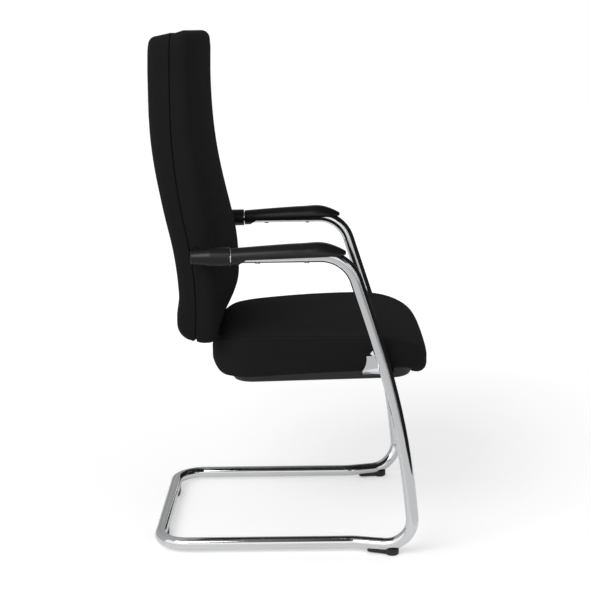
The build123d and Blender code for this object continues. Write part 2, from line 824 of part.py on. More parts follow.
def tee_nut(barrel):
    """Flanged nut along +Z whose flange rests at the origin and whose barrel points down."""
    body = extrude(Circle(tee_flange_d / 2), tee_flange_h)
    body += Pos(0, 0, -barrel) * extrude(Circle(tee_barrel_d / 2), barrel)
    return body - Cylinder(bolt_d / 2 + weld_gap, 4 * barrel)


def board_bolt_place(z):
    """Frame at a bolt through bar and board: origin on the bar's front face, z towards the rear."""
    return Pos(*at(bar_face() + bar_thick, 0, z)) * Rot(0, -90, 0)


def bar_bolts():
    pieces = []
    for z in bar_back_bolts:
        grip = bar_face() + bar_thick - seam_x(z) - board_offset
        pieces.append(board_bolt_place(z) * bolt(grip))
    for x in bar_seat_bolts:
        grip = bar_thick + seat_board_thick + tee_flange_h
        pieces.append(sloped(Pos(*at(x, 0, seat_bottom - bar_thick)) * bolt(grip)))
    return Compound(children=pieces)


def seat_bolt_places():
    rear = bridge_rear + seat_bolt_inset
    front = bridge_front - seat_bolt_inset
    return [(x, side * seat_bolt_half) for x in (rear, front) for side in (-1, 1)]


def seat_bolts():
    grip = bridge_thick + seat_board_thick + tee_flange_h
    places = [at(x, y, bridge_bottom) for x, y in seat_bolt_places()]
    return Compound(children=[sloped(Pos(*place) * bolt(grip)) for place in places])


def tee_nut_places():
    return seat_bolt_places() + [(x, 0.0) for x in bar_seat_bolts]


def tee_nuts():
    """Nuts let into the seat board from above and into the back's board from behind."""
    pieces = [sloped(Pos(*at(x, y, board_top)) * tee_nut(seat_board_thick)) for x, y in tee_nut_places()]
    for z in bar_back_bolts:
        pieces.append(back_nut_place(z) * tee_nut(board_thick - 2 * tee_flange_h))
    return Compound(children=pieces)


# Steel under the seat
def seat_bridge():
    """Pressed plate between the legs, with its long edges folded down."""
    half = leg_half(seat_bottom) - bridge_tuck * tube_r
    with BuildSketch(Plane.XY.offset(bridge_bottom)) as plate:
        with Locations(at((bridge_rear + bridge_front) / 2, 0, 0)):
            Rectangle(bridge_front - bridge_rear, 2 * bridge_body_half)
        with Locations(at((bridge_ear + bridge_front) / 2, 0, 0)):
            Rectangle(bridge_front - bridge_ear, 2 * half)
    body = extrude(plate.sketch, bridge_thick)
    body = fillet(body.edges().filter_by(Axis.Z).group_by(Axis.X)[0], bridge_flange)
    for x in (bridge_rear + bridge_thick / 2, bridge_front - bridge_thick / 2):
        flange = Box(bridge_thick, 2 * (bridge_body_half - bridge_flange), bridge_flange)
        body += Pos(*at(x, 0, seat_bottom - bridge_flange / 2)) * flange
    for x, y in seat_bolt_places():
        hole_r = (bolt_d + screw_slack) / 2
        body -= upright_cylinder(x, y, bridge_bottom - bridge_flange, seat_bottom + bridge_flange, hole_r)
    tube = frame_envelope(-1, weld_gap)
    return sloped(body) - tube - mirror(tube, about=Plane.XZ)


def seat_bracket(side):
    """Pressed channel in the corner of bridge and leg: floor, upright web and top lip."""
    outer_y = leg_half(seat_bottom)
    web_y = outer_y - bracket_reach
    top = seat_bottom + bracket_height
    tube_back = leg_x(top) - tube_r
    with BuildSketch(Plane.XY.offset(seat_bottom)) as floor:
        with BuildLine():
            Polyline(
                at(bridge_ear, side * web_y, 0)[:2],
                at(leg_x(seat_bottom), side * web_y, 0)[:2],
                at(leg_x(seat_bottom), side * outer_y, 0)[:2],
                at(leg_x(seat_bottom) - tube_r, side * outer_y, 0)[:2],
                at(bridge_ear, side * (web_y + bracket_thick), 0)[:2],
                close=True,
            )
        make_face()
    with BuildSketch(Plane.XZ) as web:
        with BuildLine():
            low_rear = (rear_x + bridge_ear, seat_bottom)
            mid_rear = (rear_x + bridge_ear, seat_bottom + bracket_thick)
            lip_rear = (rear_x + tube_back - bracket_lip, top)
            tip_rear = (rear_x + tube_back - bracket_tip, top)
            tip_top = (rear_x + tube_back, top + bracket_tip)
            front_top = (rear_x + leg_x(top + bracket_tip), top + bracket_tip)
            front_low = (rear_x + leg_x(seat_bottom), seat_bottom)
            waist = (
                lip_rear[0] - 0.2 * (lip_rear[0] - mid_rear[0]),
                mid_rear[1] + 0.35 * (lip_rear[1] - mid_rear[1]),
            )
            Line(low_rear, mid_rear)
            ThreePointArc(mid_rear, waist, lip_rear)
            Polyline(lip_rear, tip_rear, tip_top, front_top, front_low, low_rear)
        make_face()
    web_mid = side * (web_y + bracket_thick / 2)
    body = Pos(0, web_mid, 0) * extrude(web.sketch, bracket_thick / 2, both=True)
    body += extrude(floor.sketch, bracket_thick)
    lip_depth = leg_half(top) - web_y
    lip = Box(
        leg_x(top) - tube_back + bracket_lip,
        lip_depth,
        bracket_thick,
        align=(Align.MIN, Align.CENTER, Align.MAX),
    )
    body += Pos(*at(tube_back - bracket_lip, side * (web_y + lip_depth / 2), top)) * lip
    return sloped(body) - frame_envelope(side, weld_gap)


# Seat
def seat_plan_half(x):
    """Half width of the seat, wider to the front, with its corners rounded as seen from above."""
    share = sin(min(1.0, (x - seat_rear) / seat_taper) * pi / 2)
    side = seat_rear_half + (seat_half - seat_rear_half) * share
    return side - max(rounding(x - seat_rear, seat_rear_corner), rounding(seat_front - x, seat_front_corner))


def seat_top(x):
    """Height of the middle of the seat's top."""
    share = (x - seat_rear) / (seat_crest - seat_rear)
    rise = (seat_top_front - seat_top_rear) * (1 - (1 - min(share, 1.0)) ** 2)
    rear_drop = rounding(x - seat_rear, seat_rear_round) * seat_rear_drop / seat_rear_round
    front_drop = rounding(seat_front - x, seat_waterfall) * seat_front_drop / seat_waterfall
    return seat_top_rear + rise - rear_drop - front_drop


def seat_under(x):
    """Height of the seat's underside, which follows the board and drops in front of the cover."""
    lip = min(1.0, max(0.0, (x - cover_front) / seat_lip_run))
    dip = seat_front_lip * (0.5 - 0.5 * cos(pi * lip))
    ends = rounding(x - seat_rear, seat_rear_under) + rounding(seat_front - x, seat_front_under)
    return seat_plane(x) - dip + ends


def seat_section(x):
    """Upright outline across the seat: flat below, drawn in at the bottom, crowned on top."""
    width = seat_plan_half(x)
    low = seat_under(x)
    high = seat_top(x)
    tall = high - low
    crown = min(seat_crown, 0.12 * tall)
    draw = min(seat_draw_in, 0.2 * tall)
    low_r = min(seat_low_round, 0.3 * tall)
    shoulder = min(seat_shoulder, 0.4 * tall)
    edge = high - crown
    cut = 1 - sqrt(0.5)
    plane = Plane(origin=at(x, 0, 0), x_dir=(0, 1, 0), z_dir=(1, 0, 0))
    with BuildSketch(plane) as section:
        with BuildLine():
            Line((-width + draw, low), (width - draw, low))
            ThreePointArc(
                (width - draw, low), (width - draw * cut, low + low_r * 0.45), (width, low + low_r)
            )
            Line((width, low + low_r), (width, edge - shoulder))
            ThreePointArc(
                (width, edge - shoulder),
                (width - shoulder * cut, edge - shoulder * cut),
                (width - shoulder, edge),
            )
            ThreePointArc((width - shoulder, edge), (0, high), (-width + shoulder, edge))
            ThreePointArc(
                (-width + shoulder, edge),
                (-width + shoulder * cut, edge - shoulder * cut),
                (-width, edge - shoulder),
            )
            Line((-width, edge - shoulder), (-width, low + low_r))
            ThreePointArc(
                (-width, low + low_r), (-width + draw * cut, low + low_r * 0.45), (-width + draw, low)
            )
        make_face()
    return section.sketch


def seat_stations():
    near_rear = [seat_rear + seat_rear_corner * share for share in (0.0, 0.06, 0.2, 0.5, 1.0)]
    near_front = [seat_front - seat_front_corner * share for share in (1.0, 0.6, 0.3, 0.12, 0.03, 0.0)]
    span = near_front[0] - near_rear[-1]
    middle = [near_rear[-1] + span * step / 4 for step in range(1, 4)]
    return near_rear + middle + near_front


def tapered_plan(rear, front, rear_half, front_half, rear_corner, front_corner):
    """Plan that is wider at the front, with rounded corners."""
    with BuildSketch() as plan:
        with BuildLine():
            Polyline(
                (rear_x + rear, -rear_half),
                (rear_x + front, -front_half),
                (rear_x + front, front_half),
                (rear_x + rear, rear_half),
                close=True,
            )
        make_face()
        fillet(plan.vertices().group_by(Axis.X)[0], rear_corner)
        fillet(plan.vertices().group_by(Axis.X)[-1], front_corner)
    return plan.sketch


def seat_board_sheet(gap):
    """Plan of the seat board, grown by a clearance."""
    return tapered_plan(
        seat_board_rear - gap,
        seat_board_front + gap,
        seat_rear_half - seat_board_inset + gap,
        seat_half - seat_board_inset + gap,
        seat_board_rear_corner,
        seat_board_corner,
    )


def seat_board():
    board = Pos(0, 0, seat_bottom) * extrude(seat_board_sheet(0), seat_board_thick)
    for x, y in tee_nut_places():
        board -= upright_cylinder(x, y, seat_bottom - 1, board_top + 1, tee_barrel_d / 2 + weld_gap)
    for x, y in cover_screw_places():
        board -= upright_cylinder(x, y, seat_bottom - 1, board_top - 2, (cover_screw_d + weld_gap) / 2)
    return sloped(board)


def seat_cushion():
    """Upholstered seat: crowned, rounded in plan, with a waterfall front."""
    body = loft([seat_section(x) for x in seat_stations()])
    depth = seat_board_thick + fit_gap
    pocket_low = seat_bottom - seat_front_lip - fit_gap
    pocket = extrude(seat_board_sheet(fit_gap), depth + seat_bottom - pocket_low)
    body -= sloped(Pos(0, 0, pocket_low) * pocket)
    nut_top = board_top + 2 * tee_flange_h + fit_gap
    for x, y in tee_nut_places():
        body -= sloped(upright_cylinder(x, y, seat_bottom, nut_top, tee_flange_d / 2 + fit_gap))
    flat = Box(
        cover_front + fit_gap,
        3 * seat_half,
        seat_bottom,
        align=(Align.MIN, Align.CENTER, Align.MAX),
    )
    body -= sloped(Pos(*at(0, 0, seat_bottom)) * flat)
    body -= bar_form(fit_gap)
    return body - Pos(fit_gap, 0, -fit_gap) * back_front_form()


# Cover under the seat
def cover_plan(inset):
    """Plan of the cover, drawn in from its rim."""
    return tapered_plan(
        cover_rear + inset,
        cover_front - inset,
        cover_rear_half - inset,
        cover_half - inset,
        cover_rear_corner - inset,
        cover_corner - inset,
    )


def cover_screw_places():
    return [(x, side * cover_screw_half) for x in cover_screw_x for side in (-1, 1)]


def seat_cover():
    """Moulded tray under the seat, with sloped sides, screw bosses and gaps for the steel."""
    rim = seat_bottom - fit_gap
    outer = loft([Pos(0, 0, cover_bottom) * cover_plan(cover_slope), Pos(0, 0, rim) * cover_plan(0)])
    outer = fillet(outer.edges().group_by(Axis.Z)[0], cover_floor_edge)
    inner = loft(
        [
            Pos(0, 0, cover_bottom + cover_wall) * cover_plan(cover_slope + cover_wall),
            Pos(0, 0, rim + cover_wall) * cover_plan(cover_wall),
        ]
    )
    body = outer - inner
    for x, y in cover_screw_places():
        body += upright_cylinder(x, y, cover_bottom + cover_wall / 2, rim, cover_boss_d / 2)
    for x, y in cover_screw_places():
        body -= upright_cylinder(x, y, cover_bottom - 1, rim + 1, (cover_screw_d + screw_slack) / 2)
        recess_top = cover_bottom + cover_screw_head_h + fit_gap
        body -= upright_cylinder(x, y, cover_bottom - 1, recess_top, cover_screw_head_d / 2 + fit_gap)
    ear_length = bridge_front - bridge_ear + 2 * fit_gap
    ear_mid = (bridge_front + bridge_ear) / 2
    gap_depth = bridge_thick + fit_gap
    body -= Pos(*at(ear_mid, 0, seat_bottom)) * Box(ear_length, 4 * seat_half, 2 * gap_depth)
    bar_gap = bar_thick + fit_gap
    bar_cut = Box(2 * bar_foot, bar_width + 2 * fit_gap, 2 * bar_gap)
    return sloped(body - Pos(*at(cover_rear - bar_foot / 2, 0, seat_bottom)) * bar_cut)


def cover_screws():
    pieces = []
    for x, y in cover_screw_places():
        head_top = cover_bottom + cover_screw_head_h
        head = upright_cylinder(x, y, cover_bottom, head_top, cover_screw_head_d / 2)
        shank = upright_cylinder(x, y, head_top, board_top - 3, cover_screw_d / 2)
        pieces.append(sloped(head + shank))
    return Compound(children=pieces)


def build():
    """Every piece of the chair by its node name."""
    pieces = {
        "frame_splice": frame_splice(),
        "glide_screws": glide_screws(),
        "arm_pad_screws": arm_pad_screws(),
        "stub_screws": stub_screws(),
        "back_front_cushion": back_front(),
        "back_rear_cushion": back_rear(),
        "back_board": back_board(),
        "back_bar": back_bar(),
        "bar_bolts": bar_bolts(),
        "tee_nuts": tee_nuts(),
        "seat_cushion": seat_cushion(),
        "seat_board": seat_board(),
        "seat_bridge": seat_bridge(),
        "seat_bolts": seat_bolts(),
        "seat_cover": seat_cover(),
        "cover_screws": cover_screws(),
    }
    right = -1
    paired = {
        "frame_tube": frame_half(right),
        "glide_front": front_glide(right),
        "glide_rear": rear_glide(right),
        "arm_pad": arm_pad(right),
        "arm_sleeve": arm_sleeve(right),
        "back_stub": back_stub(right),
        "seat_bracket": seat_bracket(right),
    }
    for name, piece in paired.items():
        pieces[name + "_right"] = piece
        pieces[name + "_left"] = mirror(piece, about=Plane.XZ)
    return pieces


os.makedirs("parts", exist_ok=True)
for node, piece in build().items():
    export_step(piece, os.path.join("parts", node + ".step"))
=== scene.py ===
from math import cos, pi, radians, sin, sqrt, tan

import bmesh
import bpy
import numpy as np
from mathutils import Matrix, Vector
from mathutils.bvhtree import BVHTree


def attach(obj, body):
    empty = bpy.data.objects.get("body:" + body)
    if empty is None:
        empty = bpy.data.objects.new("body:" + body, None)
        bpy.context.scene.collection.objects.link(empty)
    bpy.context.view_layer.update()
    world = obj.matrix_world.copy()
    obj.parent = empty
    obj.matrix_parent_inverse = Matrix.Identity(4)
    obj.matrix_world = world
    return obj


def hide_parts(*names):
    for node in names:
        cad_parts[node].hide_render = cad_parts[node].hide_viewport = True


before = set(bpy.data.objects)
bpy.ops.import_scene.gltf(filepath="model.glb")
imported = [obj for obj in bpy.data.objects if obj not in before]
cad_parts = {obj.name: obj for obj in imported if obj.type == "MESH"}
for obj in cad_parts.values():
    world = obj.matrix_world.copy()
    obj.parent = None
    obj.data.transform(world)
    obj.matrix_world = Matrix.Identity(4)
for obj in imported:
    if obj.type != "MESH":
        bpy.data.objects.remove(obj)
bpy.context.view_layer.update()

bl_info = {
    "name": "Cantilever visitor chair",
    "version": (1, 0, 0),
    "blender": (4, 5, 0),
    "location": "3D View > Sidebar > Chair",
    "description": "Upholstery, finishes and studio for a cantilever visitor chair",
    "category": "Object",
}

# Shape of the upholstery, in millimetres. It follows the solids, apart from the back's sloped top,
# the seat's front lip and the seat's rear lower edge.
# Lengths along the chair are measured forwards from the middle of the frame's rear run.
MM = 0.001
REAR_X = -269.5
FIT_GAP = 0.3

BACK = {
    "half": 229.0,
    "top": 1044.0,
    "front_low": 429.5,
    "rear_low": 434.5,
    "rear_short": 5.0,
    "seam_top": 55.0,
    "upright": 883.5,
    "turn": 658.5,
    "low_upright": 512.5,
    "lean": radians(11.6),
    "nod": 4.0,
    "front_depth": 40.5,
    "front_swell": 9.5,
    "shoulder_height": 713.5,
    "shoulder_reach": 260.0,
    "rear_depth_top": 43.5,
    "rear_depth_low": 34.5,
    "rear_flare": 5.0,
    "flare_height": 482.0,
    "flare_reach": 45.0,
    "crown_top": 15.5,
    "crown_lumbar": 28.0,
    "crown_start": 462.0,
    "crown_growth": 78.0,
    "crown_least": 0.8,
    "lumbar_height": 583.5,
    "lumbar_reach": 240.0,
    "rear_crown": 5.0,
    "top_corner": 38.0,
    "low_corner": 42.0,
    "edge_front": 24.0,
    "edge_rear": 17.0,
    "edge_seam": 3.0,
    "seam_more_low": 1.5,
    "seam_less_top": 1.0,
    "seam_run_front": 20.0,
    "seam_run_rear": 8.0,
    "end_top": 17.0,
    "end_low": 14.0,
    "end_rear": 30.0,
    "end_rear_top": 15.0,
    "top_fall_front": 6.0,
    "top_fall_rear": 5.0,
    "board_inset": 26.0,
    "board_front": 17.7,
    "rear_recess": 3.0,
    "board_corner": 40.0,
}
SEAT = {
    "rear": 112.5,
    "front": 551.5,
    "half": 240.0,
    "rear_half": 190.0,
    "taper": 310.0,
    "bottom": 379.0,
    "pivot": 430.0,
    "tilt": radians(3.0),
    "top_rear": 444.8,
    "top_front": 455.7,
    "crest": 410.0,
    "crown": 8.0,
    "crown_power": 2.2,
    "rear_corner": 95.0,
    "front_corner": 90.0,
    "rear_round": 45.0,
    "rear_drop": 32.0,
    "rear_under": 26.0,
    "waterfall": 131.0,
    "front_drop": 53.0,
    "front_lip": 29.0,
    "hang_start": 485.0,
    "hang_power": 2.2,
    "sag_start": 350.0,
    "rear_sag": 9.0,
    "front_draw": 20.0,
    "lip_start": 528.0,
    "lip_lean": 0.5,
    "tip_lift": 2.0,
    "tip_share": 0.6,
    "rear_ease": 1.3,
    "draw_in": 11.0,
    "draw_share": 0.25,
    "draw_share_front": 0.25,
    "low_round": 20.0,
    "round_share": 0.34,
    "round_share_front": 0.14,
    "shoulder": 20.0,
    "shoulder_least": 4.0,
    "shoulder_share": 0.4,
    "board_rear": 146.0,
    "board_front": 505.5,
    "board_inset": 22.0,
    "board_rear_corner": 80.0,
    "board_corner": 45.0,
    "board_thick": 12.0,
}
STUB_X = 97.5
STUB_R = 10.0
ARM_HEIGHT = 617.5
BAR_WIDTH = 50.0
BAR_THICK = 8.0
BAR_TOP = 559.5
BAR_SIDE = BAR_WIDTH / 2 + 1.0
BAR_CUT_BEHIND = 12.0
BAR_CUT_AHEAD = 5.0
BAR_CUT_LOW = 400.0
STUB_CLEARANCE = 0.6
STUB_CUT_LENGTH = 140.0
STUB_CUT_INSIDE = 0.38
PRESS_GAP = 1.2

# Notches in the seat where the bar passes: two boxes, rear to front and low to high, in millimetres
NOTCH_REAR = 90.0
NOTCH_LOW = 340.0
UPPER_NOTCH = (119.5, 480.0)
LOWER_NOTCH = (134.0, 374.0)

# Mesh rows on the cushions: run of lines across an end, what a side falls short, and rows on the face,
# in millimetres, then the rows round the seat's seam as shares of its rounded shoulder or of the seam's width
END_RUN = 430.0
SIDE_SHORT = 20.0
SEAT_FACE_ROWS = (5.0, 10.5)
BACK_FACE_ROWS = (5.5, 11.5)
SEAM_ROWS = (
    ("arc", 0.0), ("arc", 0.2), ("lip", -1.6), ("lip", -0.8), ("seam", 0.0),
    ("lip", 0.8), ("lip", 1.6), ("arc", 0.72), ("arc", 0.86), ("arc", 1.0),
)

# Cloth that the foam presses outwards
CLOTH = {
    "quality": 4,
    "mass": 0.25,
    "tension_stiffness": 18,
    "compression_stiffness": 18,
    "shear_stiffness": 6,
    "bending_stiffness": 1.5,
    "use_pressure": True,
    "vertex_group_mass": "held",
}
CLOTH_FRAMES = 20

# Studio, in metres: cards to the sides, a ceiling, and the camera that matches the photograph
CARD_SIDE = 0.95
CARD_FAR = 3.4
CARD_HEIGHT = 2.4
ROOM_HEIGHT = 3.3
ROOM_NEAR = -6.0
ROOM_FAR = 4.5
ROOM_HALF = 4.0
DARK = 0.012
LAMP_TARGET = (0, 0, 0.5)
RING_PARTS = 24
RING_LIFT = 0.0004
FLOOR_RADIUS = 14.0
FLOOR_DROP = 0.0005
FLOOR_NEAR_LIGHT = 0.5
FLOOR_FAR_LIGHT = 2.6
CAMERA_PLACE = (0.0526, -2.7726, 1.0398)
CAMERA_PITCH = radians(11.273)
CAMERA_YAW = radians(-0.785)
CAMERA_ROLL = radians(0.95)


# Settings
def length_setting(name, description, default, least=0.0):
    """A length in metres."""
    return bpy.props.FloatProperty(
        name=name, description=description, default=default, min=least, unit="LENGTH"
    )


def amount_setting(name, description, default, **limits):
    """A plain number, or one with a unit of its own."""
    return bpy.props.FloatProperty(name=name, description=description, default=default, **limits)


def colour_setting(name, description, default):
    """A colour with three parts."""
    return bpy.props.FloatVectorProperty(
        name=name, description=description, default=default, subtype="COLOR", min=0, max=1
    )


class ChairUpholstery(bpy.types.PropertyGroup):
    """Sizes of the upholstery that a user would change."""

    mesh_pitch: length_setting("Mesh pitch", "Distance between mesh lines on a cushion", 0.0066, 0.003)
    seam_depth: length_setting("Seam depth", "How far the seat's top seam is drawn in", 0.0014)
    seam_half_width: length_setting("Seam half width", "Half the width of the drawn-in seam", 0.0017, 0.0005)
    pressure: amount_setting("Pressure", "Pressure of the foam against its cover", 4.0, min=0.0)
    swell_cap: length_setting("Swell cap", "Furthest that the cover may move outwards", 0.0022)
    draw_cap: length_setting("Draw cap", "Furthest that the cover may draw in", 0.0006)
    swell_evening: bpy.props.IntProperty(
        name="Swell evening", description="How many times the swell is evened out", default=30, min=0
    )
    start_inset: length_setting("Start inset", "How much smaller the cover starts", 0.003)
    stitch_pitch: length_setting("Stitch pitch", "Distance from one stitch to the next", 0.0048, 0.002)
    stitch_length: length_setting("Stitch length", "Length of one stitch", 0.0036, 0.001)
    stitch_radius: length_setting("Thread radius", "Half the thickness of the thread", 0.00035, 0.0001)
    stitch_inset: length_setting("Stitch inset", "Seam to the line of stitches", 0.0045, 0.001)


class ChairFinishes(bpy.types.PropertyGroup):
    """Colours and textures that a user would change."""

    fabric_colour: colour_setting("Fabric", "Colour of the woven cover", (0.0112, 0.0112, 0.0118))
    thread_colour: colour_setting("Thread", "Colour of the seam stitches", (0.014, 0.014, 0.015))
    chrome_colour: colour_setting("Chrome", "Tint of the plated tube", (0.83, 0.84, 0.855))
    zinc_colour: colour_setting("Zinc", "Tint of screws and bolts", (0.56, 0.57, 0.58))
    pad_colour: colour_setting("Arm pads", "Colour of arm pads and sleeves", (0.010, 0.010, 0.011))
    glide_colour: colour_setting("Glides", "Colour of the glides", (0.012, 0.012, 0.013))
    cover_colour: colour_setting("Under-seat cover", "Colour of the moulded cover", (0.020, 0.020, 0.021))
    paint_colour: colour_setting("Powder coat", "Colour of the painted steel", (0.016, 0.016, 0.017))
    plywood_colour: colour_setting("Plywood", "Colour of the boards", (0.58, 0.42, 0.26))
    weave_pitch: length_setting("Weave pitch", "Width of one yarn of the cover", 0.0011, 0.0003)


class ChairStage(bpy.types.PropertyGroup):
    """Studio settings that a user would change."""

    floor_colour: colour_setting("Floor", "Colour of the floor", (0.80, 0.80, 0.80))
    floor_lift: amount_setting("Floor lift", "Light added to the floor round the chair", 0.40, min=0.0)
    floor_far: amount_setting("Far floor lift", "Light added to the floor far from the chair", 0.62, min=0.0)
    floor_sheen: amount_setting(
        "Floor in metal", "Share of that light that shows in reflections", 0.2, min=0.0, max=1.0
    )
    ambient: amount_setting("Ambient", "Soft light from all round", 0.55, min=0.0)
    key_power: amount_setting("Key", "Power of the large soft lamp", 70.0, min=0.0, unit="POWER")
    fill_power: amount_setting("Fill", "Power of the lamp on the other side", 4.0, min=0.0, unit="POWER")
    lens: amount_setting("Lens", "Focal length of the camera, in millimetres", 81.06, min=10.0)


# Forms of the upholstery
def rounding(distance, radius):
    """How far a surface falls back at a distance from its rounded end."""
    short = np.clip(radius - distance, 0.0, radius)
    return radius - np.sqrt(np.maximum(radius**2 - short**2, 0.0))


def bump(offset, reach):
    """1 where the offset is 0, falling smoothly to 0 where it equals the reach."""
    return 0.5 + 0.5 * np.cos(pi * np.minimum(1.0, np.abs(offset) / reach))


def seam_x(z):
    """Rear run to the back's side seam at a height."""
    b = BACK
    lean = b["lean"]
    upper_r = (b["upright"] - b["turn"]) / sin(lean)
    lower_r = (b["turn"] - b["low_upright"]) / sin(lean)
    turn_x = b["seam_top"] + upper_r * (1 - cos(lean))
    low_x = turn_x + lower_r * (1 - cos(lean))
    nod = b["seam_top"] + b["nod"] * ((z - b["upright"]) / (b["top"] - b["upright"])) ** 2
    upper = b["seam_top"] + upper_r - np.sqrt(np.maximum(upper_r**2 - (b["upright"] - z) ** 2, 0))
    lower = low_x - lower_r + np.sqrt(np.maximum(lower_r**2 - (z - b["low_upright"]) ** 2, 0))
    return np.where(z >= b["upright"], nod, np.where(z >= b["turn"], upper, lower))


def front_crown(z):
    """How far the middle of the back's front stands out beyond its sides."""
    b = BACK
    lumbar = bump(z - b["lumbar_height"], b["lumbar_reach"])
    above = b["crown_top"] + (b["crown_lumbar"] - b["crown_top"]) * lumbar
    share = np.sin(np.clip((z - b["crown_start"]) / b["crown_growth"], 0, 1) * pi / 2)
    below = b["crown_least"] + (b["crown_lumbar"] - b["crown_least"]) * share
    return np.where(z > b["lumbar_height"], above, below)


def front_depth(z):
    """Seam to the front edge of the back's side."""
    shoulder = bump(z - BACK["shoulder_height"], BACK["shoulder_reach"])
    return BACK["front_depth"] + BACK["front_swell"] * shoulder


def rear_depth(z):
    """Seam to the rear edge of the back's side."""
    b = BACK
    share = np.sin(np.clip((b["upright"] - z) / (b["upright"] - b["low_upright"]), 0, 1) * pi / 2)
    depth = b["rear_depth_top"] + (b["rear_depth_low"] - b["rear_depth_top"]) * share
    return depth + b["rear_flare"] * bump(z - b["flare_height"], b["flare_reach"])


def seat_half(x):
    """Half width of the seat, wider to the front, with rounded corners."""
    s = SEAT
    share = np.sin(np.clip((x - s["rear"]) / s["taper"], 0, 1) * pi / 2)
    side = s["rear_half"] + (s["half"] - s["rear_half"]) * share
    rear = rounding(x - s["rear"], s["rear_corner"])
    front = rounding(s["front"] - x, s["front_corner"])
    return side - np.maximum(rear, front)


def seat_top(x):
    """Height of the middle of the seat's top."""
    s = SEAT
    share = np.clip((x - s["rear"]) / (s["crest"] - s["rear"]), 0, 1)
    rise = (s["top_front"] - s["top_rear"]) * (1 - (1 - share) ** 2)
    rear = rounding(x - s["rear"], s["rear_round"]) * s["rear_drop"] / s["rear_round"]
    front = rounding(s["front"] - x, s["waterfall"]) * s["front_drop"] / s["waterfall"]
    return s["top_rear"] + rise - rear - front


def seat_plane(x):
    """Height of the underside of the seat board, which falls towards the back."""
    return SEAT["bottom"] - (SEAT["pivot"] - x) * tan(SEAT["tilt"])


def seat_under(x):
    """Height of the seat's underside, without the lip that hangs down at its front."""
    return seat_plane(x) + rounding(x - SEAT["rear"], SEAT["rear_under"])


# Mesh building
class Outline:
    """Closed outline of a cushion in its own plane: u runs along it, v across it, both in millimetres."""

    def __init__(self, half, low, high, low_corner, high_corner, sides, ends):
        self.sides = sides
        self.ends = ends
        turn = 1 - sqrt(0.5)
        u_low = low + low_corner * turn
        u_high = high - high_corner * turn
        share = 0.5 - 0.5 * np.cos(np.linspace(0, pi, 1200))
        along = u_low + (u_high - u_low) * share
        side = np.stack([along, half(along)], 1)
        closing = 1 - np.linspace(0, 1, 300) ** 0.5
        far = high - (high - u_high) * closing
        far_half = np.stack([far, half(far)], 1)
        near = (low + (u_low - low) * closing)[::-1]
        near_half = np.stack([near, half(near)], 1)
        flip = np.array([1.0, -1.0])
        high_end = np.concatenate([far_half, far_half[::-1] * flip])
        low_end = np.concatenate([near_half[::-1] * flip, near_half])
        parts = [
            self.spread(side, sides),
            self.spread(high_end, ends),
            self.spread(side[::-1] * flip, sides),
            self.spread(low_end, ends),
        ]
        self.points = np.concatenate(parts)
        ahead = np.roll(self.points, -1, 0) - np.roll(self.points, 1, 0)
        ahead /= np.linalg.norm(ahead, axis=1, keepdims=True)
        self.inward = np.stack([ahead[:, 1], -ahead[:, 0]], 1)
        self.count = len(self.points)

    @staticmethod
    def spread(line, count):
        """Points at even distances along a line, without its last point."""
        step = np.linalg.norm(np.diff(line, axis=0), axis=1)
        run = np.concatenate([[0], np.cumsum(step)])
        want = np.linspace(0, run[-1], count + 1)[:-1]
        return np.stack([np.interp(want, run, line[:, k]) for k in range(2)], 1)

    def inset(self, distance):
        """The outline moved inwards by one distance or by one for each point."""
        return self.points + self.inward * np.asarray(distance).reshape(-1, 1)

    def patch(self, ring):
        """Points across a ring, blended from its four sides: (ends + 1) by (sides + 1)."""
        s, e = self.sides, self.ends
        plus = ring[: s + 1]
        high = ring[s : s + e + 1]
        minus = ring[s + e : 2 * s + e + 1][::-1]
        low = np.concatenate([ring[2 * s + e :], ring[:1]])[::-1]
        across = np.linspace(0, 1, e + 1)[:, None, None]
        along = np.linspace(0, 1, s + 1)[None, :, None]
        rails = (1 - across) * plus[None] + across * minus[None]
        rungs = (1 - along) * low[:, None] + along * high[:, None]
        corners = (1 - across) * ((1 - along) * plus[0] + along * plus[-1])
        corners = corners + across * ((1 - along) * minus[0] + along * minus[-1])
        return rails + rungs - corners


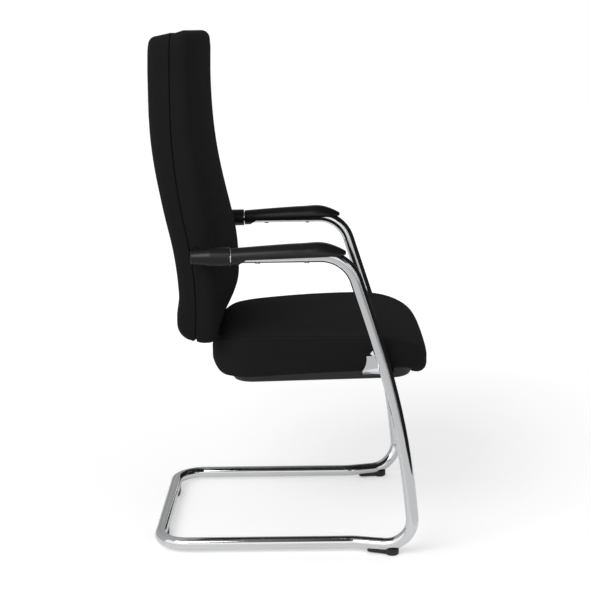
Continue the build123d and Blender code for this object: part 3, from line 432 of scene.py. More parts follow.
class Shell:
    """Closed quad mesh of a cushion: rows round its outline, closed by a patch at each end."""

    def __init__(self, outline):
        self.outline = outline
        self.rows = []
        self.plan = []
        self.pins = []

    def add(self, uv, height, plan=False, pin=0.0):
        """Add a row: place, height, whether its cloth lies in plan and how firmly it is held."""
        self.rows.append(np.column_stack([uv, np.broadcast_to(height, len(uv))]))
        self.plan.append(plan)
        self.pins.append(pin)

    def build(self, name, base_height, top_height, place):
        """Make the object. place turns (u, v, height) into metres in the chair's frame."""
        o = self.outline
        n = o.count
        rows = np.array(self.rows)
        points = [rows.reshape(-1, 3)]
        pins = [np.repeat(self.pins, n)]
        total = len(rows) * n
        grids = []
        last = (len(rows) - 1) * n
        for ring, offset, height, pin in ((rows[0], 0, base_height, 1.0), (rows[-1], last, top_height, 0.0)):
            grid = o.patch(ring[:, :2])
            inner = grid[1:-1, 1:-1].reshape(-1, 2)
            index = np.zeros(grid.shape[:2], int)
            order = np.arange(n) + offset
            index[0, :] = order[: o.sides + 1]
            index[:, -1] = order[o.sides : o.sides + o.ends + 1]
            index[-1, :] = order[o.sides + o.ends : 2 * o.sides + o.ends + 1][::-1]
            index[:, 0] = np.concatenate([order[2 * o.sides + o.ends :], order[:1]])[::-1]
            index[1:-1, 1:-1] = np.arange(total, total + len(inner)).reshape(o.ends - 1, o.sides - 1)
            total += len(inner)
            points.append(np.column_stack([inner, height(inner[:, 0], inner[:, 1])]))
            pins.append(np.full(len(inner), pin))
            grids.append(index)
        points = np.concatenate(points)
        pins = np.concatenate(pins)
        ring_step = np.linalg.norm(np.roll(o.points, -1, 0) - o.points, axis=1)
        run = np.concatenate([[0], np.cumsum(ring_step)])
        rise = np.concatenate([[0], np.cumsum(np.linalg.norm(np.diff(rows, axis=0), axis=2).mean(1))])
        faces = []
        maps = []
        for k in range(len(rows) - 1):
            flat = self.plan[k] and self.plan[k + 1]
            for i in range(n):
                j = (i + 1) % n
                quad = (k * n + i, k * n + j, (k + 1) * n + j, (k + 1) * n + i)
                faces.append(quad)
                if flat:
                    maps.append([points[q, :2] for q in quad])
                else:
                    spans = ((i, k), (i + 1, k), (i + 1, k + 1), (i, k + 1))
                    maps.append([(run[a], rise[b]) for a, b in spans])
        for index in grids:
            for a in range(o.ends):
                for b in range(o.sides):
                    quad = (index[a, b], index[a, b + 1], index[a + 1, b + 1], index[a + 1, b])
                    faces.append(quad)
                    maps.append([points[q, :2] for q in quad])
        mesh = bpy.data.meshes.new(name)
        mesh.from_pydata(place(points).tolist(), [], [[int(q) for q in f] for f in faces])
        layer = mesh.uv_layers.new(name="cloth")
        layer.data.foreach_set("uv", (np.array(maps, float).reshape(-1) * MM).astype(np.float32))
        turn_outwards(mesh)
        piece = bpy.data.objects.new(name, mesh)
        bpy.context.scene.collection.objects.link(piece)
        held = piece.vertex_groups.new(name="held")
        for i in np.nonzero(pins)[0]:
            held.add([int(i)], float(pins[i]), "REPLACE")
        return piece


def turn_outwards(mesh):
    """Point the faces of a closed mesh outwards."""
    work = bmesh.new()
    work.from_mesh(mesh)
    bmesh.ops.recalc_face_normals(work, faces=work.faces)
    work.to_mesh(mesh)
    work.free()
    mesh.update()


def place_seat(points):
    """Seat plane: u is along the chair, v across it, height is up."""
    return np.column_stack([REAR_X + points[:, 0], points[:, 1], points[:, 2]]) * MM


def place_back(points):
    """Back plane: u is up, v across, height is forwards from the rear run."""
    return np.column_stack([REAR_X + points[:, 2], points[:, 1], points[:, 0]]) * MM


def replace_mesh(piece, mesh):
    """Give a piece its finished mesh and drop the old one."""
    old = piece.data
    name = old.name
    piece.modifiers.clear()
    piece.data = mesh
    bpy.data.meshes.remove(old)
    mesh.name = name


def evaluated_mesh(piece):
    """The mesh of a piece with its modifiers applied."""
    graph = bpy.context.evaluated_depsgraph_get()
    ready = piece.evaluated_get(graph)
    return bpy.data.meshes.new_from_object(ready, preserve_all_data_layers=True, depsgraph=graph)


def vertex_array(mesh, field="co"):
    """Places of a mesh's vertices, or their normals."""
    values = np.zeros(len(mesh.vertices) * 3, np.float32)
    mesh.vertices.foreach_get(field, values)
    return values.reshape(-1, 3).astype(float)


def set_vertices(mesh, places):
    """Move a mesh's vertices to new places."""
    mesh.vertices.foreach_set("co", places.astype(np.float32).ravel())
    mesh.update()


def swell(piece, upholstery):
    """Let the foam press its cover outwards as cloth, held at seams and where it lies on its board."""
    mesh = piece.data
    wanted = vertex_array(mesh)
    free = np.ones(len(wanted))
    group = piece.vertex_groups["held"].index
    for vertex in mesh.vertices:
        for entry in vertex.groups:
            if entry.group == group:
                free[vertex.index] = 1 - entry.weight
    start = wanted - vertex_array(mesh, "normal") * (upholstery.start_inset * free)[:, None]
    set_vertices(mesh, start)
    cloth = piece.modifiers.new("foam", "CLOTH")
    for key, value in CLOTH.items():
        setattr(cloth.settings, key, value)
    cloth.settings.uniform_pressure_force = upholstery.pressure
    cloth.settings.effector_weights.gravity = 0
    cloth.collision_settings.use_collision = False
    cloth.point_cache.frame_start = 1
    cloth.point_cache.frame_end = CLOTH_FRAMES
    scene = bpy.context.scene
    for step in range(1, CLOTH_FRAMES + 1):
        scene.frame_set(step)
    ready = piece.evaluated_get(bpy.context.evaluated_depsgraph_get())
    moved = vertex_array(ready.to_mesh()) - start
    ready.to_mesh_clear()
    piece.modifiers.clear()
    scene.frame_set(1)
    set_vertices(mesh, wanted)
    ways = vertex_array(mesh, "normal")
    swollen = np.einsum("ij,ij->i", start + moved - wanted, ways)
    swollen = np.clip(swollen, -upholstery.draw_cap, upholstery.swell_cap)
    swollen = evened(mesh, swollen, upholstery.swell_evening) * free
    set_vertices(mesh, wanted + ways * swollen[:, None])


def evened(mesh, values, rounds):
    """Average a value at each vertex with its neighbours, several times over."""
    pairs = np.zeros(len(mesh.edges) * 2, np.int32)
    mesh.edges.foreach_get("vertices", pairs)
    first, second = pairs.reshape(-1, 2).T
    size = len(values)
    count = np.bincount(first, minlength=size) + np.bincount(second, minlength=size)
    for step in range(rounds):
        total = np.bincount(first, values[second], size) + np.bincount(second, values[first], size)
        values = 0.5 * values + 0.5 * total / count
    return values


def refine(piece):
    """One smooth subdivision, applied."""
    smooth = piece.modifiers.new("smooth", "SUBSURF")
    smooth.levels = 1
    smooth.render_levels = 1
    replace_mesh(piece, evaluated_mesh(piece))


def cut(piece, cutter):
    """Take a closed shape out of a piece."""
    knife = piece.modifiers.new("cut", "BOOLEAN")
    knife.operation = "DIFFERENCE"
    knife.solver = "MANIFOLD"
    knife.object = cutter
    before = len(piece.data.vertices)
    replace_mesh(piece, evaluated_mesh(piece))
    if len(piece.data.vertices) < before // 2:
        raise RuntimeError("the cut left too little of " + piece.name)
    old = cutter.data
    bpy.data.objects.remove(cutter)
    bpy.data.meshes.remove(old)


def bmesh_object(name, work):
    """An object from a bmesh, for a cutter or the floor."""
    mesh = bpy.data.meshes.new(name)
    work.to_mesh(mesh)
    work.free()
    thing = bpy.data.objects.new(name, mesh)
    bpy.context.scene.collection.objects.link(thing)
    return thing


def box_cutter(low, high):
    """Box between two corners given in millimetres from the rear run."""
    work = bmesh.new()
    bmesh.ops.create_cube(work, size=1.0)
    size = [(h - l) * MM for l, h in zip(low, high)]
    middle = [(h + l) / 2 * MM for l, h in zip(low, high)]
    middle[0] += REAR_X * MM
    bmesh.ops.scale(work, vec=size, verts=work.verts)
    bmesh.ops.translate(work, vec=middle, verts=work.verts)
    return bmesh_object("box_cutter", work)


def stub_cutter(side):
    """Round cutter where a stub goes into the side of the back."""
    work = bmesh.new()
    length = STUB_CUT_LENGTH * MM
    radius = (STUB_R + STUB_CLEARANCE) * MM
    turned = Matrix.Rotation(pi / 2, 4, "X")
    bmesh.ops.create_cone(
        work, cap_ends=True, segments=48, radius1=radius, radius2=radius, depth=length, matrix=turned
    )
    middle = side * (BACK["half"] * MM - length * STUB_CUT_INSIDE)
    bmesh.ops.translate(work, vec=((REAR_X + STUB_X) * MM, middle, ARM_HEIGHT * MM), verts=work.verts)
    return bmesh_object("stub_cutter", work)


def smooth_shading(mesh):
    """Shade all faces smooth."""
    mesh.polygons.foreach_set("use_smooth", [True] * len(mesh.polygons))
    mesh.update()


def finish_soft(piece, material, node):
    """Shade a soft piece, give it its finish and tie it to the chair."""
    piece.data.materials.clear()
    piece.data.materials.append(material)
    smooth_shading(piece.data)
    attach(piece, "root")
    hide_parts(node)


# Shader parts
def node_group(name, inputs, outputs):
    """Empty shader group with named sockets."""
    group = bpy.data.node_groups.new(name, "ShaderNodeTree")
    for label, kind, default in inputs:
        socket = group.interface.new_socket(label, in_out="INPUT", socket_type=kind)
        if default is not None:
            socket.default_value = default
    for label, kind in outputs:
        group.interface.new_socket(label, in_out="OUTPUT", socket_type=kind)
    enter = group.nodes.new("NodeGroupInput")
    leave = group.nodes.new("NodeGroupOutput")
    return group, enter, leave


def blend(tree, first, first_share, second, second_share):
    """Sum of two values, each taken at its share."""
    one = maths(tree, "MULTIPLY", first, first_share)
    other = maths(tree, "MULTIPLY", second, second_share)
    return maths(tree, "ADD", one, other)


def maths(tree, operation, first, second=None):
    """Add a math node; each operand is a socket or a number."""
    node = tree.nodes.new("ShaderNodeMath")
    node.operation = operation
    for slot, value in zip(node.inputs, (first, second)):
        if value is None:
            continue
        if isinstance(value, (int, float)):
            slot.default_value = value
        else:
            tree.links.new(value, slot)
    return node.outputs[0]


def noise(tree, vector, scale, detail=2.0):
    """Noise from 0 to 1 at a scale."""
    node = tree.nodes.new("ShaderNodeTexNoise")
    node.inputs["Scale"].default_value = scale
    node.inputs["Detail"].default_value = detail
    tree.links.new(vector, node.inputs["Vector"])
    return node.outputs["Fac"]


def spread_range(tree, value, low, high):
    """Map a value from 0..1 to low..high."""
    node = tree.nodes.new("ShaderNodeMapRange")
    node.inputs["To Min"].default_value = low
    node.inputs["To Max"].default_value = high
    tree.links.new(value, node.inputs["Value"])
    return node.outputs["Result"]


def woven_group():
    """Plain weave: yarn height and a slow change of shade."""
    group, enter, leave = node_group(
        "woven_cloth",
        [
            ("Cloth", "NodeSocketVector", None),
            ("Place", "NodeSocketVector", None),
            ("Yarn Width", "NodeSocketFloat", 0.0011),
        ],
        [("Height", "NodeSocketFloat"), ("Shade", "NodeSocketFloat")],
    )
    split = group.nodes.new("ShaderNodeSeparateXYZ")
    group.links.new(enter.outputs["Cloth"], split.inputs[0])
    warp = maths(group, "DIVIDE", split.outputs[0], enter.outputs["Yarn Width"])
    weft = maths(group, "DIVIDE", split.outputs[1], enter.outputs["Yarn Width"])
    warp_arch = maths(group, "SINE", maths(group, "MULTIPLY", maths(group, "FRACT", warp), pi))
    weft_arch = maths(group, "SINE", maths(group, "MULTIPLY", maths(group, "FRACT", weft), pi))
    steps = maths(group, "ADD", maths(group, "FLOOR", warp), maths(group, "FLOOR", weft))
    over = maths(group, "FLOORED_MODULO", steps, 2.0)
    under = maths(group, "SUBTRACT", 1.0, over)
    woven = blend(group, warp_arch, over, weft_arch, under)
    fluff = noise(group, enter.outputs["Place"], 2200.0, 1.0)
    height = maths(group, "ADD", woven, maths(group, "MULTIPLY", fluff, 0.35))
    group.links.new(height, leave.inputs["Height"])
    slow = noise(group, enter.outputs["Place"], 9.0, 3.0)
    yarn = noise(group, enter.outputs["Place"], 420.0, 2.0)
    group.links.new(blend(group, slow, 0.55, yarn, 0.45), leave.inputs["Shade"])
    return group


def grain_group():
    """Fine moulded or sprayed grain: its height and the small change of gloss that goes with it."""
    group, enter, leave = node_group(
        "surface_grain",
        [("Place", "NodeSocketVector", None), ("Grain Scale", "NodeSocketFloat", 900.0)],
        [("Height", "NodeSocketFloat"), ("Gloss", "NodeSocketFloat")],
    )
    fine = group.nodes.new("ShaderNodeTexNoise")
    fine.inputs["Detail"].default_value = 1.5
    group.links.new(enter.outputs["Place"], fine.inputs["Vector"])
    group.links.new(enter.outputs["Grain Scale"], fine.inputs["Scale"])
    group.links.new(fine.outputs["Fac"], leave.inputs["Height"])
    slow = noise(group, enter.outputs["Place"], 14.0, 4.0)
    group.links.new(blend(group, slow, 0.7, fine.outputs["Fac"], 0.3), leave.inputs["Gloss"])
    return group


def handling_group():
    """Faint smears that handling leaves on a bright surface."""
    group, enter, leave = node_group(
        "handling_marks",
        [("Place", "NodeSocketVector", None)],
        [("Smear", "NodeSocketFloat"), ("Tone", "NodeSocketFloat")],
    )
    broad = noise(group, enter.outputs["Place"], 11.0, 3.0)
    fine = noise(group, enter.outputs["Place"], 160.0, 3.0)
    group.links.new(blend(group, broad, 0.6, fine, 0.4), leave.inputs["Smear"])
    group.links.new(broad, leave.inputs["Tone"])
    return group


def new_material(name):
    """Node material with its shader, coordinates and links ready."""
    material = bpy.data.materials.new(name)
    material.use_nodes = True
    tree = material.node_tree
    shader = tree.nodes["Principled BSDF"]
    coords = tree.nodes.new("ShaderNodeTexCoord")
    return material, tree, shader, coords


def use_group(tree, group, **links):
    """Place a shader group in a material, with a socket or a number for each input."""
    node = tree.nodes.new("ShaderNodeGroup")
    node.node_tree = group
    for label, value in links.items():
        slot = node.inputs[label.replace("_", " ")]
        if isinstance(value, (int, float)):
            slot.default_value = value
        else:
            tree.links.new(value, slot)
    return node


def tint(tree, factor, colour, dark, light, shader):
    """Colour the surface between a dark and a light share of a colour, by a value that changes over it."""
    mix = tree.nodes.new("ShaderNodeMix")
    mix.data_type = "RGBA"
    mix.inputs[6].default_value = (*(c * dark for c in colour), 1)
    mix.inputs[7].default_value = (*(c * light for c in colour), 1)
    tree.links.new(factor, mix.inputs[0])
    tree.links.new(mix.outputs[2], shader.inputs["Base Color"])


def relief(tree, height, strength, distance, shader):
    """Raise fine detail by a bump."""
    node = tree.nodes.new("ShaderNodeBump")
    node.inputs["Strength"].default_value = strength
    node.inputs["Distance"].default_value = distance
    tree.links.new(height, node.inputs["Height"])
    tree.links.new(node.outputs["Normal"], shader.inputs["Normal"])


def roughen(tree, value, low, high, shader):
    """Vary the roughness between two levels."""
    tree.links.new(spread_range(tree, value, low, high), shader.inputs["Roughness"])


def group_named(name, maker):
    """A shader group, made the first time that it is asked for."""
    return bpy.data.node_groups.get(name) or maker()


def fabric_material(finishes):
    """Close woven black cover, shared by the cushions."""
    ready = bpy.data.materials.get("woven_black")
    if ready:
        return ready
    material, tree, shader, coords = new_material("woven_black")
    cloth = use_group(
        tree,
        group_named("woven_cloth", woven_group),
        Cloth=coords.outputs["UV"],
        Place=coords.outputs["Object"],
        Yarn_Width=finishes.weave_pitch,
    )
    tint(tree, cloth.outputs["Shade"], finishes.fabric_colour, 0.72, 1.28, shader)
    relief(tree, cloth.outputs["Height"], 0.5, 0.0003, shader)
    shader.inputs["Roughness"].default_value = 0.92
    shader.inputs["Specular IOR Level"].default_value = 0.04
    shader.inputs["Sheen Weight"].default_value = 0.015
    shader.inputs["Sheen Roughness"].default_value = 0.6
    return material


def use_grain(tree, coords, scale):
    """Place the fine grain in a material."""
    grain = group_named("surface_grain", grain_group)
    return use_group(tree, grain, Place=coords.outputs["Object"], Grain_Scale=scale)


def use_marks(tree, coords):
    """Place the marks of handling in a material."""
    return use_group(tree, group_named("handling_marks", handling_group), Place=coords.outputs["Object"])


def thread_material(finishes):
    """Thread of the seam stitches."""
    material, tree, shader, coords = new_material("sewing_thread")
    grain = use_grain(tree, coords, 2500.0)
    tint(tree, grain.outputs["Gloss"], finishes.thread_colour, 0.7, 1.4, shader)
    shader.inputs["Roughness"].default_value = 0.6
    return material


def plated_material(name, colour, smooth, rough, dark, light):
    """Plated metal: roughness between two levels and tone between two shares of its colour."""
    material, tree, shader, coords = new_material(name)
    marks = use_marks(tree, coords)
    roughen(tree, marks.outputs["Smear"], smooth, rough, shader)
    tint(tree, marks.outputs["Tone"], colour, dark, light, shader)
    shader.inputs["Metallic"].default_value = 1.0
    return material


def moulded_material(name, colour, gloss_low, gloss_high, grain_scale, depth, shine=0.5):
    """Moulded plastic or powder coat: grain, gloss that varies and a slight change of tone."""
    material, tree, shader, coords = new_material(name)
    grain = use_grain(tree, coords, grain_scale)
    marks = use_marks(tree, coords)
    roughen(tree, grain.outputs["Gloss"], gloss_low, gloss_high, shader)
    tint(tree, marks.outputs["Tone"], colour, 0.82, 1.18, shader)
    relief(tree, grain.outputs["Height"], 0.35, depth, shader)
    shader.inputs["Specular IOR Level"].default_value = shine
    return material


def plywood_material(finishes):
    """Bare birch plywood with grain along the chair and the edges of its plies."""
    material, tree, shader, coords = new_material("birch_plywood")
    stretch = tree.nodes.new("ShaderNodeMapping")
    stretch.inputs["Scale"].default_value = (1.0, 9.0, 9.0)
    tree.links.new(coords.outputs["Object"], stretch.inputs["Vector"])
    grain = noise(tree, stretch.outputs["Vector"], 26.0, 5.0)
    split = tree.nodes.new("ShaderNodeSeparateXYZ")
    tree.links.new(coords.outputs["Object"], split.inputs[0])
    across = maths(tree, "ADD", split.outputs[0], split.outputs[2])
    plies = maths(tree, "FRACT", maths(tree, "MULTIPLY", across, 420.0))
    tint(tree, blend(tree, grain, 0.75, plies, 0.25), finishes.plywood_colour, 0.7, 1.2, shader)
    relief(tree, grain, 0.2, 0.0004, shader)
    shader.inputs["Roughness"].default_value = 0.62
    return material


def both(name):
    """Names of a solid's right and left copies."""
    return name + "_right", name + "_left"


def dress(material, *nodes):
    """Give solids of the frame a material in place of their plain one."""
    for name in nodes:
        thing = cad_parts[name]
        if not thing.material_slots:
            thing.data.materials.append(material)
        for slot in thing.material_slots:
            slot.material = material


# Pieces
def seat_shell(upholstery):
    """Seat cushion: board pocket, drawn-in foot, upright sides, seam on the shoulder and crowned top."""
    s = SEAT
    pitch = upholstery.mesh_pitch / MM
    sides = int(round((s["front"] - s["rear"]) / pitch))
    ends = int(round(END_RUN / pitch))
    line = Outline(seat_half, s["rear"], s["front"], s["rear_corner"], s["front_corner"], sides, ends)

    pocket_rear = s["board_rear"] - FIT_GAP
    pocket_front = s["board_front"] + FIT_GAP

    def board_half(x):
        share = (x - s["board_rear"]) / (s["board_front"] - s["board_rear"])
        side = s["rear_half"] + (s["half"] - s["rear_half"]) * share - s["board_inset"] + FIT_GAP
        rear = rounding(x - pocket_rear, s["board_rear_corner"])
        front = rounding(pocket_front - x, s["board_corner"])
        return side - np.maximum(rear, front)

    pocket = Outline(
        board_half, pocket_rear, pocket_front, s["board_rear_corner"], s["board_corner"], sides, ends
    )

    def top(u, v):
        half = np.maximum(seat_half(np.clip(u, s["rear"], s["front"])), 1.0)
        return seat_top(u) - s["crown"] * np.minimum(np.abs(v) / half, 1.0) ** s["crown_power"]

    outer = line.points
    ahead = np.clip((outer[:, 0] - s["lip_start"]) / (s["front"] - s["lip_start"]), 0, 1)
    ahead = ahead**2 * (3 - 2 * ahead)
    hang = np.clip((outer[:, 0] - s["hang_start"]) / (s["front"] - s["hang_start"]), 0, 1) ** s["hang_power"]
    sag = np.clip((s["sag_start"] - outer[:, 0]) / (s["sag_start"] - s["rear"]), 0, 1)
    low = seat_plane(outer[:, 0]) + rounding(outer[:, 0] - s["rear"] + s["rear_ease"], s["rear_under"])
    low -= s["front_lip"] * hang + s["rear_sag"] * sag**2 * (3 - 2 * sag)
    high = top(outer[:, 0], outer[:, 1])
    tall = high - low
    sideways = np.abs(line.inward[:, 1]) ** 2
    shoulder = s["shoulder_least"] + (s["shoulder"] - s["shoulder_least"]) * sideways
    shoulder = np.minimum(shoulder, s["shoulder_share"] * tall)
    at_front = np.clip(-line.inward[:, 0], 0, 1) ** 2
    draw = s["draw_in"] + (s["front_draw"] - s["draw_in"]) * at_front
    draw = np.minimum(draw, (s["draw_share"] + s["draw_share_front"] * at_front) * tall)
    foot = np.minimum(s["low_round"], (s["round_share"] + s["round_share_front"] * at_front) * tall)

    def pocket_top(u):
        return seat_plane(u) + s["board_thick"] + FIT_GAP

    shell = Shell(line)
    rim = pocket.points
    rim_low = seat_under(rim[:, 0])
    rim_high = pocket_top(rim[:, 0])
    shell.add(rim, rim_high, plan=True, pin=1.0)
    shell.add(rim, (rim_low + rim_high) / 2, pin=1.0)
    shell.add(rim, rim_low, pin=1.0)
    heel = line.inset(draw)
    for share in (0.3, 0.6, 0.86):
        under = rim + (heel - rim) * share
        shell.add(under, seat_under(under[:, 0]), pin=1.0)
    under_low = seat_under(under[:, 0])
    tip = under + (heel - under) * s["tip_share"]
    tip_low = seat_under(tip[:, 0]) * (1 - ahead) + (low + s["tip_lift"]) * ahead
    tip[:, 0] += (heel[:, 0] - s["lip_lean"] * s["front_lip"] - tip[:, 0]) * ahead
    for share in (0.33, 0.66, 1.0):
        shell.add(under + (tip - under) * share, under_low + (tip_low - under_low) * share, pin=1.0)
    shell.add((tip + heel) / 2, (tip_low + low) / 2, pin=1.0)
    for share in (0.0, 0.25, 0.5, 0.75, 1.0):
        angle = share * pi / 2
        place = line.inset(draw * (1 - sin(angle)))
        shell.add(place, low + foot * (1 - cos(angle)), pin=0.85 - 0.85 * share)
    for share in (0.15, 0.3, 0.45, 0.6, 0.75, 0.9):
        base = low + foot
        shell.add(line.inset(0.0), base + (high - shoulder - base) * share)
    seam_turn = upholstery.seam_half_width / MM / np.maximum(shoulder, 2.0)
    deep = upholstery.seam_depth / MM
    for kind, share in SEAM_ROWS:
        if kind == "arc":
            angle = np.full(line.count, share * pi / 2)
            sink = 0.0
        elif kind == "lip":
            angle = pi / 4 + np.clip(share * seam_turn, -0.45, 0.45)
            sink = 0.12 * deep if abs(share) < 1 else 0.0
        else:
            angle = np.full(line.count, pi / 4)
            sink = deep
        inward = shoulder * (1 - np.cos(angle)) + sink * np.cos(angle)
        place = line.inset(inward)
        height = top(place[:, 0], place[:, 1]) - shoulder * (1 - np.sin(angle)) - sink * np.sin(angle)
        shell.add(place, height, plan=kind == "arc" and share > 0.5, pin=1.0 if kind == "seam" else 0.0)
    for extra in SEAT_FACE_ROWS:
        place = line.inset(shoulder + extra)
        shell.add(place, top(place[:, 0], place[:, 1]), plan=True)
    piece = shell.build("seat_upholstery", lambda u, v: pocket_top(u), top, place_seat)
    return piece, (line, shoulder, top)


def back_shell(name, upholstery, low, high, depth, crown, edges, facing, board_depth):
    """One half of the back: recess for the board, rounded seam edge, sides and crowned face."""
    b = BACK
    edge_side, edge_low, edge_top, seam_run, seam_fall, face_fall = edges
    pitch = upholstery.mesh_pitch / MM
    sides = int(round((high - low - SIDE_SHORT) / pitch))
    ends = int(round(END_RUN / pitch))

    def half(z):
        return b["half"] - np.maximum(rounding(high - z, b["top_corner"]), rounding(z - low, b["low_corner"]))

    board_low = b["rear_low"] + b["board_inset"] - FIT_GAP
    board_high = b["top"] - b["board_inset"] + FIT_GAP

    def board_half(z):
        side = b["half"] - b["board_inset"] + FIT_GAP
        nearest = np.minimum(board_high - z, z - board_low)
        return side - rounding(nearest, b["board_corner"])

    line = Outline(half, low, high, b["low_corner"], b["top_corner"], sides, ends)
    pocket = Outline(board_half, board_low, board_high, b["board_corner"], b["board_corner"], sides, ends)

    def face(z, y):
        width = np.maximum(half(np.clip(z, low, high)) - edge_side, 1.0)
        arch = 1 - np.minimum(np.abs(y) / width, 1.0) ** 2
        return seam_x(z) + facing * (depth(z) + crown(z) * arch)

    outer = line.points
    up = line.inward[:, 0]
    at_low = np.clip(up, 0, 1) ** 2
    at_top = np.clip(-up, 0, 1) ** 2
    edge = edge_side + (edge_low - edge_side) * at_low + (edge_top - edge_side) * at_top
    seam_r = b["edge_seam"] + b["seam_more_low"] * at_low - b["seam_less_top"] * at_top
    run = b["edge_seam"] + (seam_run - b["edge_seam"]) * at_low

    def slope(share):
        return at_top * (seam_fall + (face_fall - seam_fall) * share)

    rim = pocket.points
    shell = Shell(line)
    shell.add(rim, seam_x(rim[:, 0]) + facing * board_depth, plan=True, pin=1.0)
    shell.add(rim, seam_x(rim[:, 0]) + facing * (FIT_GAP + board_depth) / 2, pin=1.0)
    shell.add(rim, seam_x(rim[:, 0]) + facing * FIT_GAP, pin=1.0)
    heel = line.inset(slope(0.0) + seam_r)
    for share in (0.35, 0.7, 1.0):
        place = rim + (heel - rim) * share
        shell.add(place, seam_x(place[:, 0]) + facing * FIT_GAP, pin=1.0)
    for share in (0.35, 0.7, 1.0):
        angle = share * pi / 2
        place = line.inset(slope(0.0) + seam_r * (1 - sin(angle)))
        lift = FIT_GAP + run * (1 - cos(angle))
        shell.add(place, seam_x(place[:, 0]) + facing * lift, pin=1.0 - 0.6 * share)
    near = seam_x(outer[:, 0]) + facing * (FIT_GAP + run)
    far = face(outer[:, 0], outer[:, 1]) - facing * edge
    for share in (0.15, 0.35, 0.55, 0.75, 0.9):
        shell.add(line.inset(slope(share)), near + (far - near) * share)
    for share in (0.0, 0.2, 0.4, 0.6, 0.8, 1.0):
        angle = share * pi / 2
        place = line.inset(slope(1.0) + edge * (1 - cos(angle)))
        shell.add(place, face(place[:, 0], place[:, 1]) - facing * edge * (1 - sin(angle)), plan=share > 0.5)
    for extra in BACK_FACE_ROWS:
        place = line.inset(slope(1.0) + edge + extra)
        shell.add(place, face(place[:, 0], place[:, 1]), plan=True)
    return shell.build(name, lambda z, y: seam_x(z) + facing * board_depth, face, place_back)


def clear_of_back(mesh):
    """Press the rear of the seat down and forwards where the back stands against it."""
    b = BACK
    places = vertex_array(mesh)
    x = places[:, 0] / MM - REAR_X
    y = np.abs(places[:, 1]) / MM
    z = places[:, 2] / MM
    half = b["half"] - rounding(z - b["front_low"], b["low_corner"])
    arch = 1 - np.minimum(y / np.maximum(half - b["edge_front"], 1), 1) ** 2
    round_low = rounding(z - b["front_low"], b["end_low"])
    front = seam_x(z) + front_depth(z) + front_crown(z) * arch - round_low + PRESS_GAP
    inside = (z > b["front_low"] - PRESS_GAP) & (y < half) & (x < front)
    ahead = np.where(inside, front - x, 0)
    down = np.where(inside, z - b["front_low"] + PRESS_GAP, 0)
    drop = down < ahead
    places[:, 2] -= np.where(drop, down, 0) * MM
    places[:, 0] += np.where(drop, 0, ahead) * MM
    set_vertices(mesh, places)


def stitch_tree():
    """Stitches along a curve: short rods of thread, one for each step."""
    tree = bpy.data.node_groups.new("seam_stitches", "GeometryNodeTree")
    numbers = [(label, "Float") for label in ("Pitch", "Length", "Radius")]
    for label, kind in [("Geometry", "Geometry"), *numbers, ("Thread", "Material")]:
        tree.interface.new_socket(label, in_out="INPUT", socket_type="NodeSocket" + kind)
    tree.interface.new_socket("Geometry", in_out="OUTPUT", socket_type="NodeSocketGeometry")
    enter = tree.nodes.new("NodeGroupInput")
    leave = tree.nodes.new("NodeGroupOutput")
    steps = tree.nodes.new("GeometryNodeCurveToPoints")
    steps.mode = "LENGTH"
    line = tree.nodes.new("GeometryNodeMeshToCurve")
    rod = tree.nodes.new("GeometryNodeMeshUVSphere")
    rod.inputs["Segments"].default_value = 8
    rod.inputs["Rings"].default_value = 5
    rod.inputs["Radius"].default_value = 1.0
    size = tree.nodes.new("ShaderNodeCombineXYZ")
    lay = tree.nodes.new("GeometryNodeInstanceOnPoints")
    real = tree.nodes.new("GeometryNodeRealizeInstances")
    finish = tree.nodes.new("GeometryNodeSetMaterial")
    link = tree.links.new
    link(enter.outputs["Geometry"], line.inputs["Mesh"])
    link(line.outputs["Curve"], steps.inputs["Curve"])
    link(enter.outputs["Pitch"], steps.inputs["Length"])
    link(steps.outputs["Points"], lay.inputs["Points"])
    link(rod.outputs["Mesh"], lay.inputs["Instance"])
    link(steps.outputs["Rotation"], lay.inputs["Rotation"])
    link(enter.outputs["Radius"], size.inputs[0])
    link(enter.outputs["Radius"], size.inputs[1])
    link(maths(tree, "MULTIPLY", enter.outputs["Length"], 0.5), size.inputs[2])
    link(size.outputs[0], lay.inputs["Scale"])
    link(lay.outputs["Instances"], real.inputs["Geometry"])
    link(real.outputs["Geometry"], finish.inputs["Geometry"])
    link(enter.outputs["Thread"], finish.inputs["Material"])
    link(finish.outputs["Geometry"], leave.inputs["Geometry"])
    return tree


def stitch_path(piece, seam, inset):
    """Closed line on the finished cushion, just inside the seam, as a wire mesh."""
    line, shoulder, top = seam
    angle = np.minimum(pi / 4 + inset / MM / np.maximum(shoulder, 2.0), pi / 2)
    place = line.inset(shoulder * (1 - np.cos(angle)))
    height = top(place[:, 0], place[:, 1]) - shoulder * (1 - np.sin(angle))
    spots = place_seat(np.column_stack([place, height]))
    mesh = piece.data
    skin = BVHTree.FromPolygons([v.co for v in mesh.vertices], [p.vertices[:] for p in mesh.polygons])
    held = []
    for spot in spots:
        where, way, face, gap = skin.find_nearest(Vector(spot))
        held.append(where + way * 0.0002)
    mesh = bpy.data.meshes.new("stitch_path")
    count = len(held)
    mesh.from_pydata(held, [(i, (i + 1) % count) for i in range(count)], [])
    return mesh


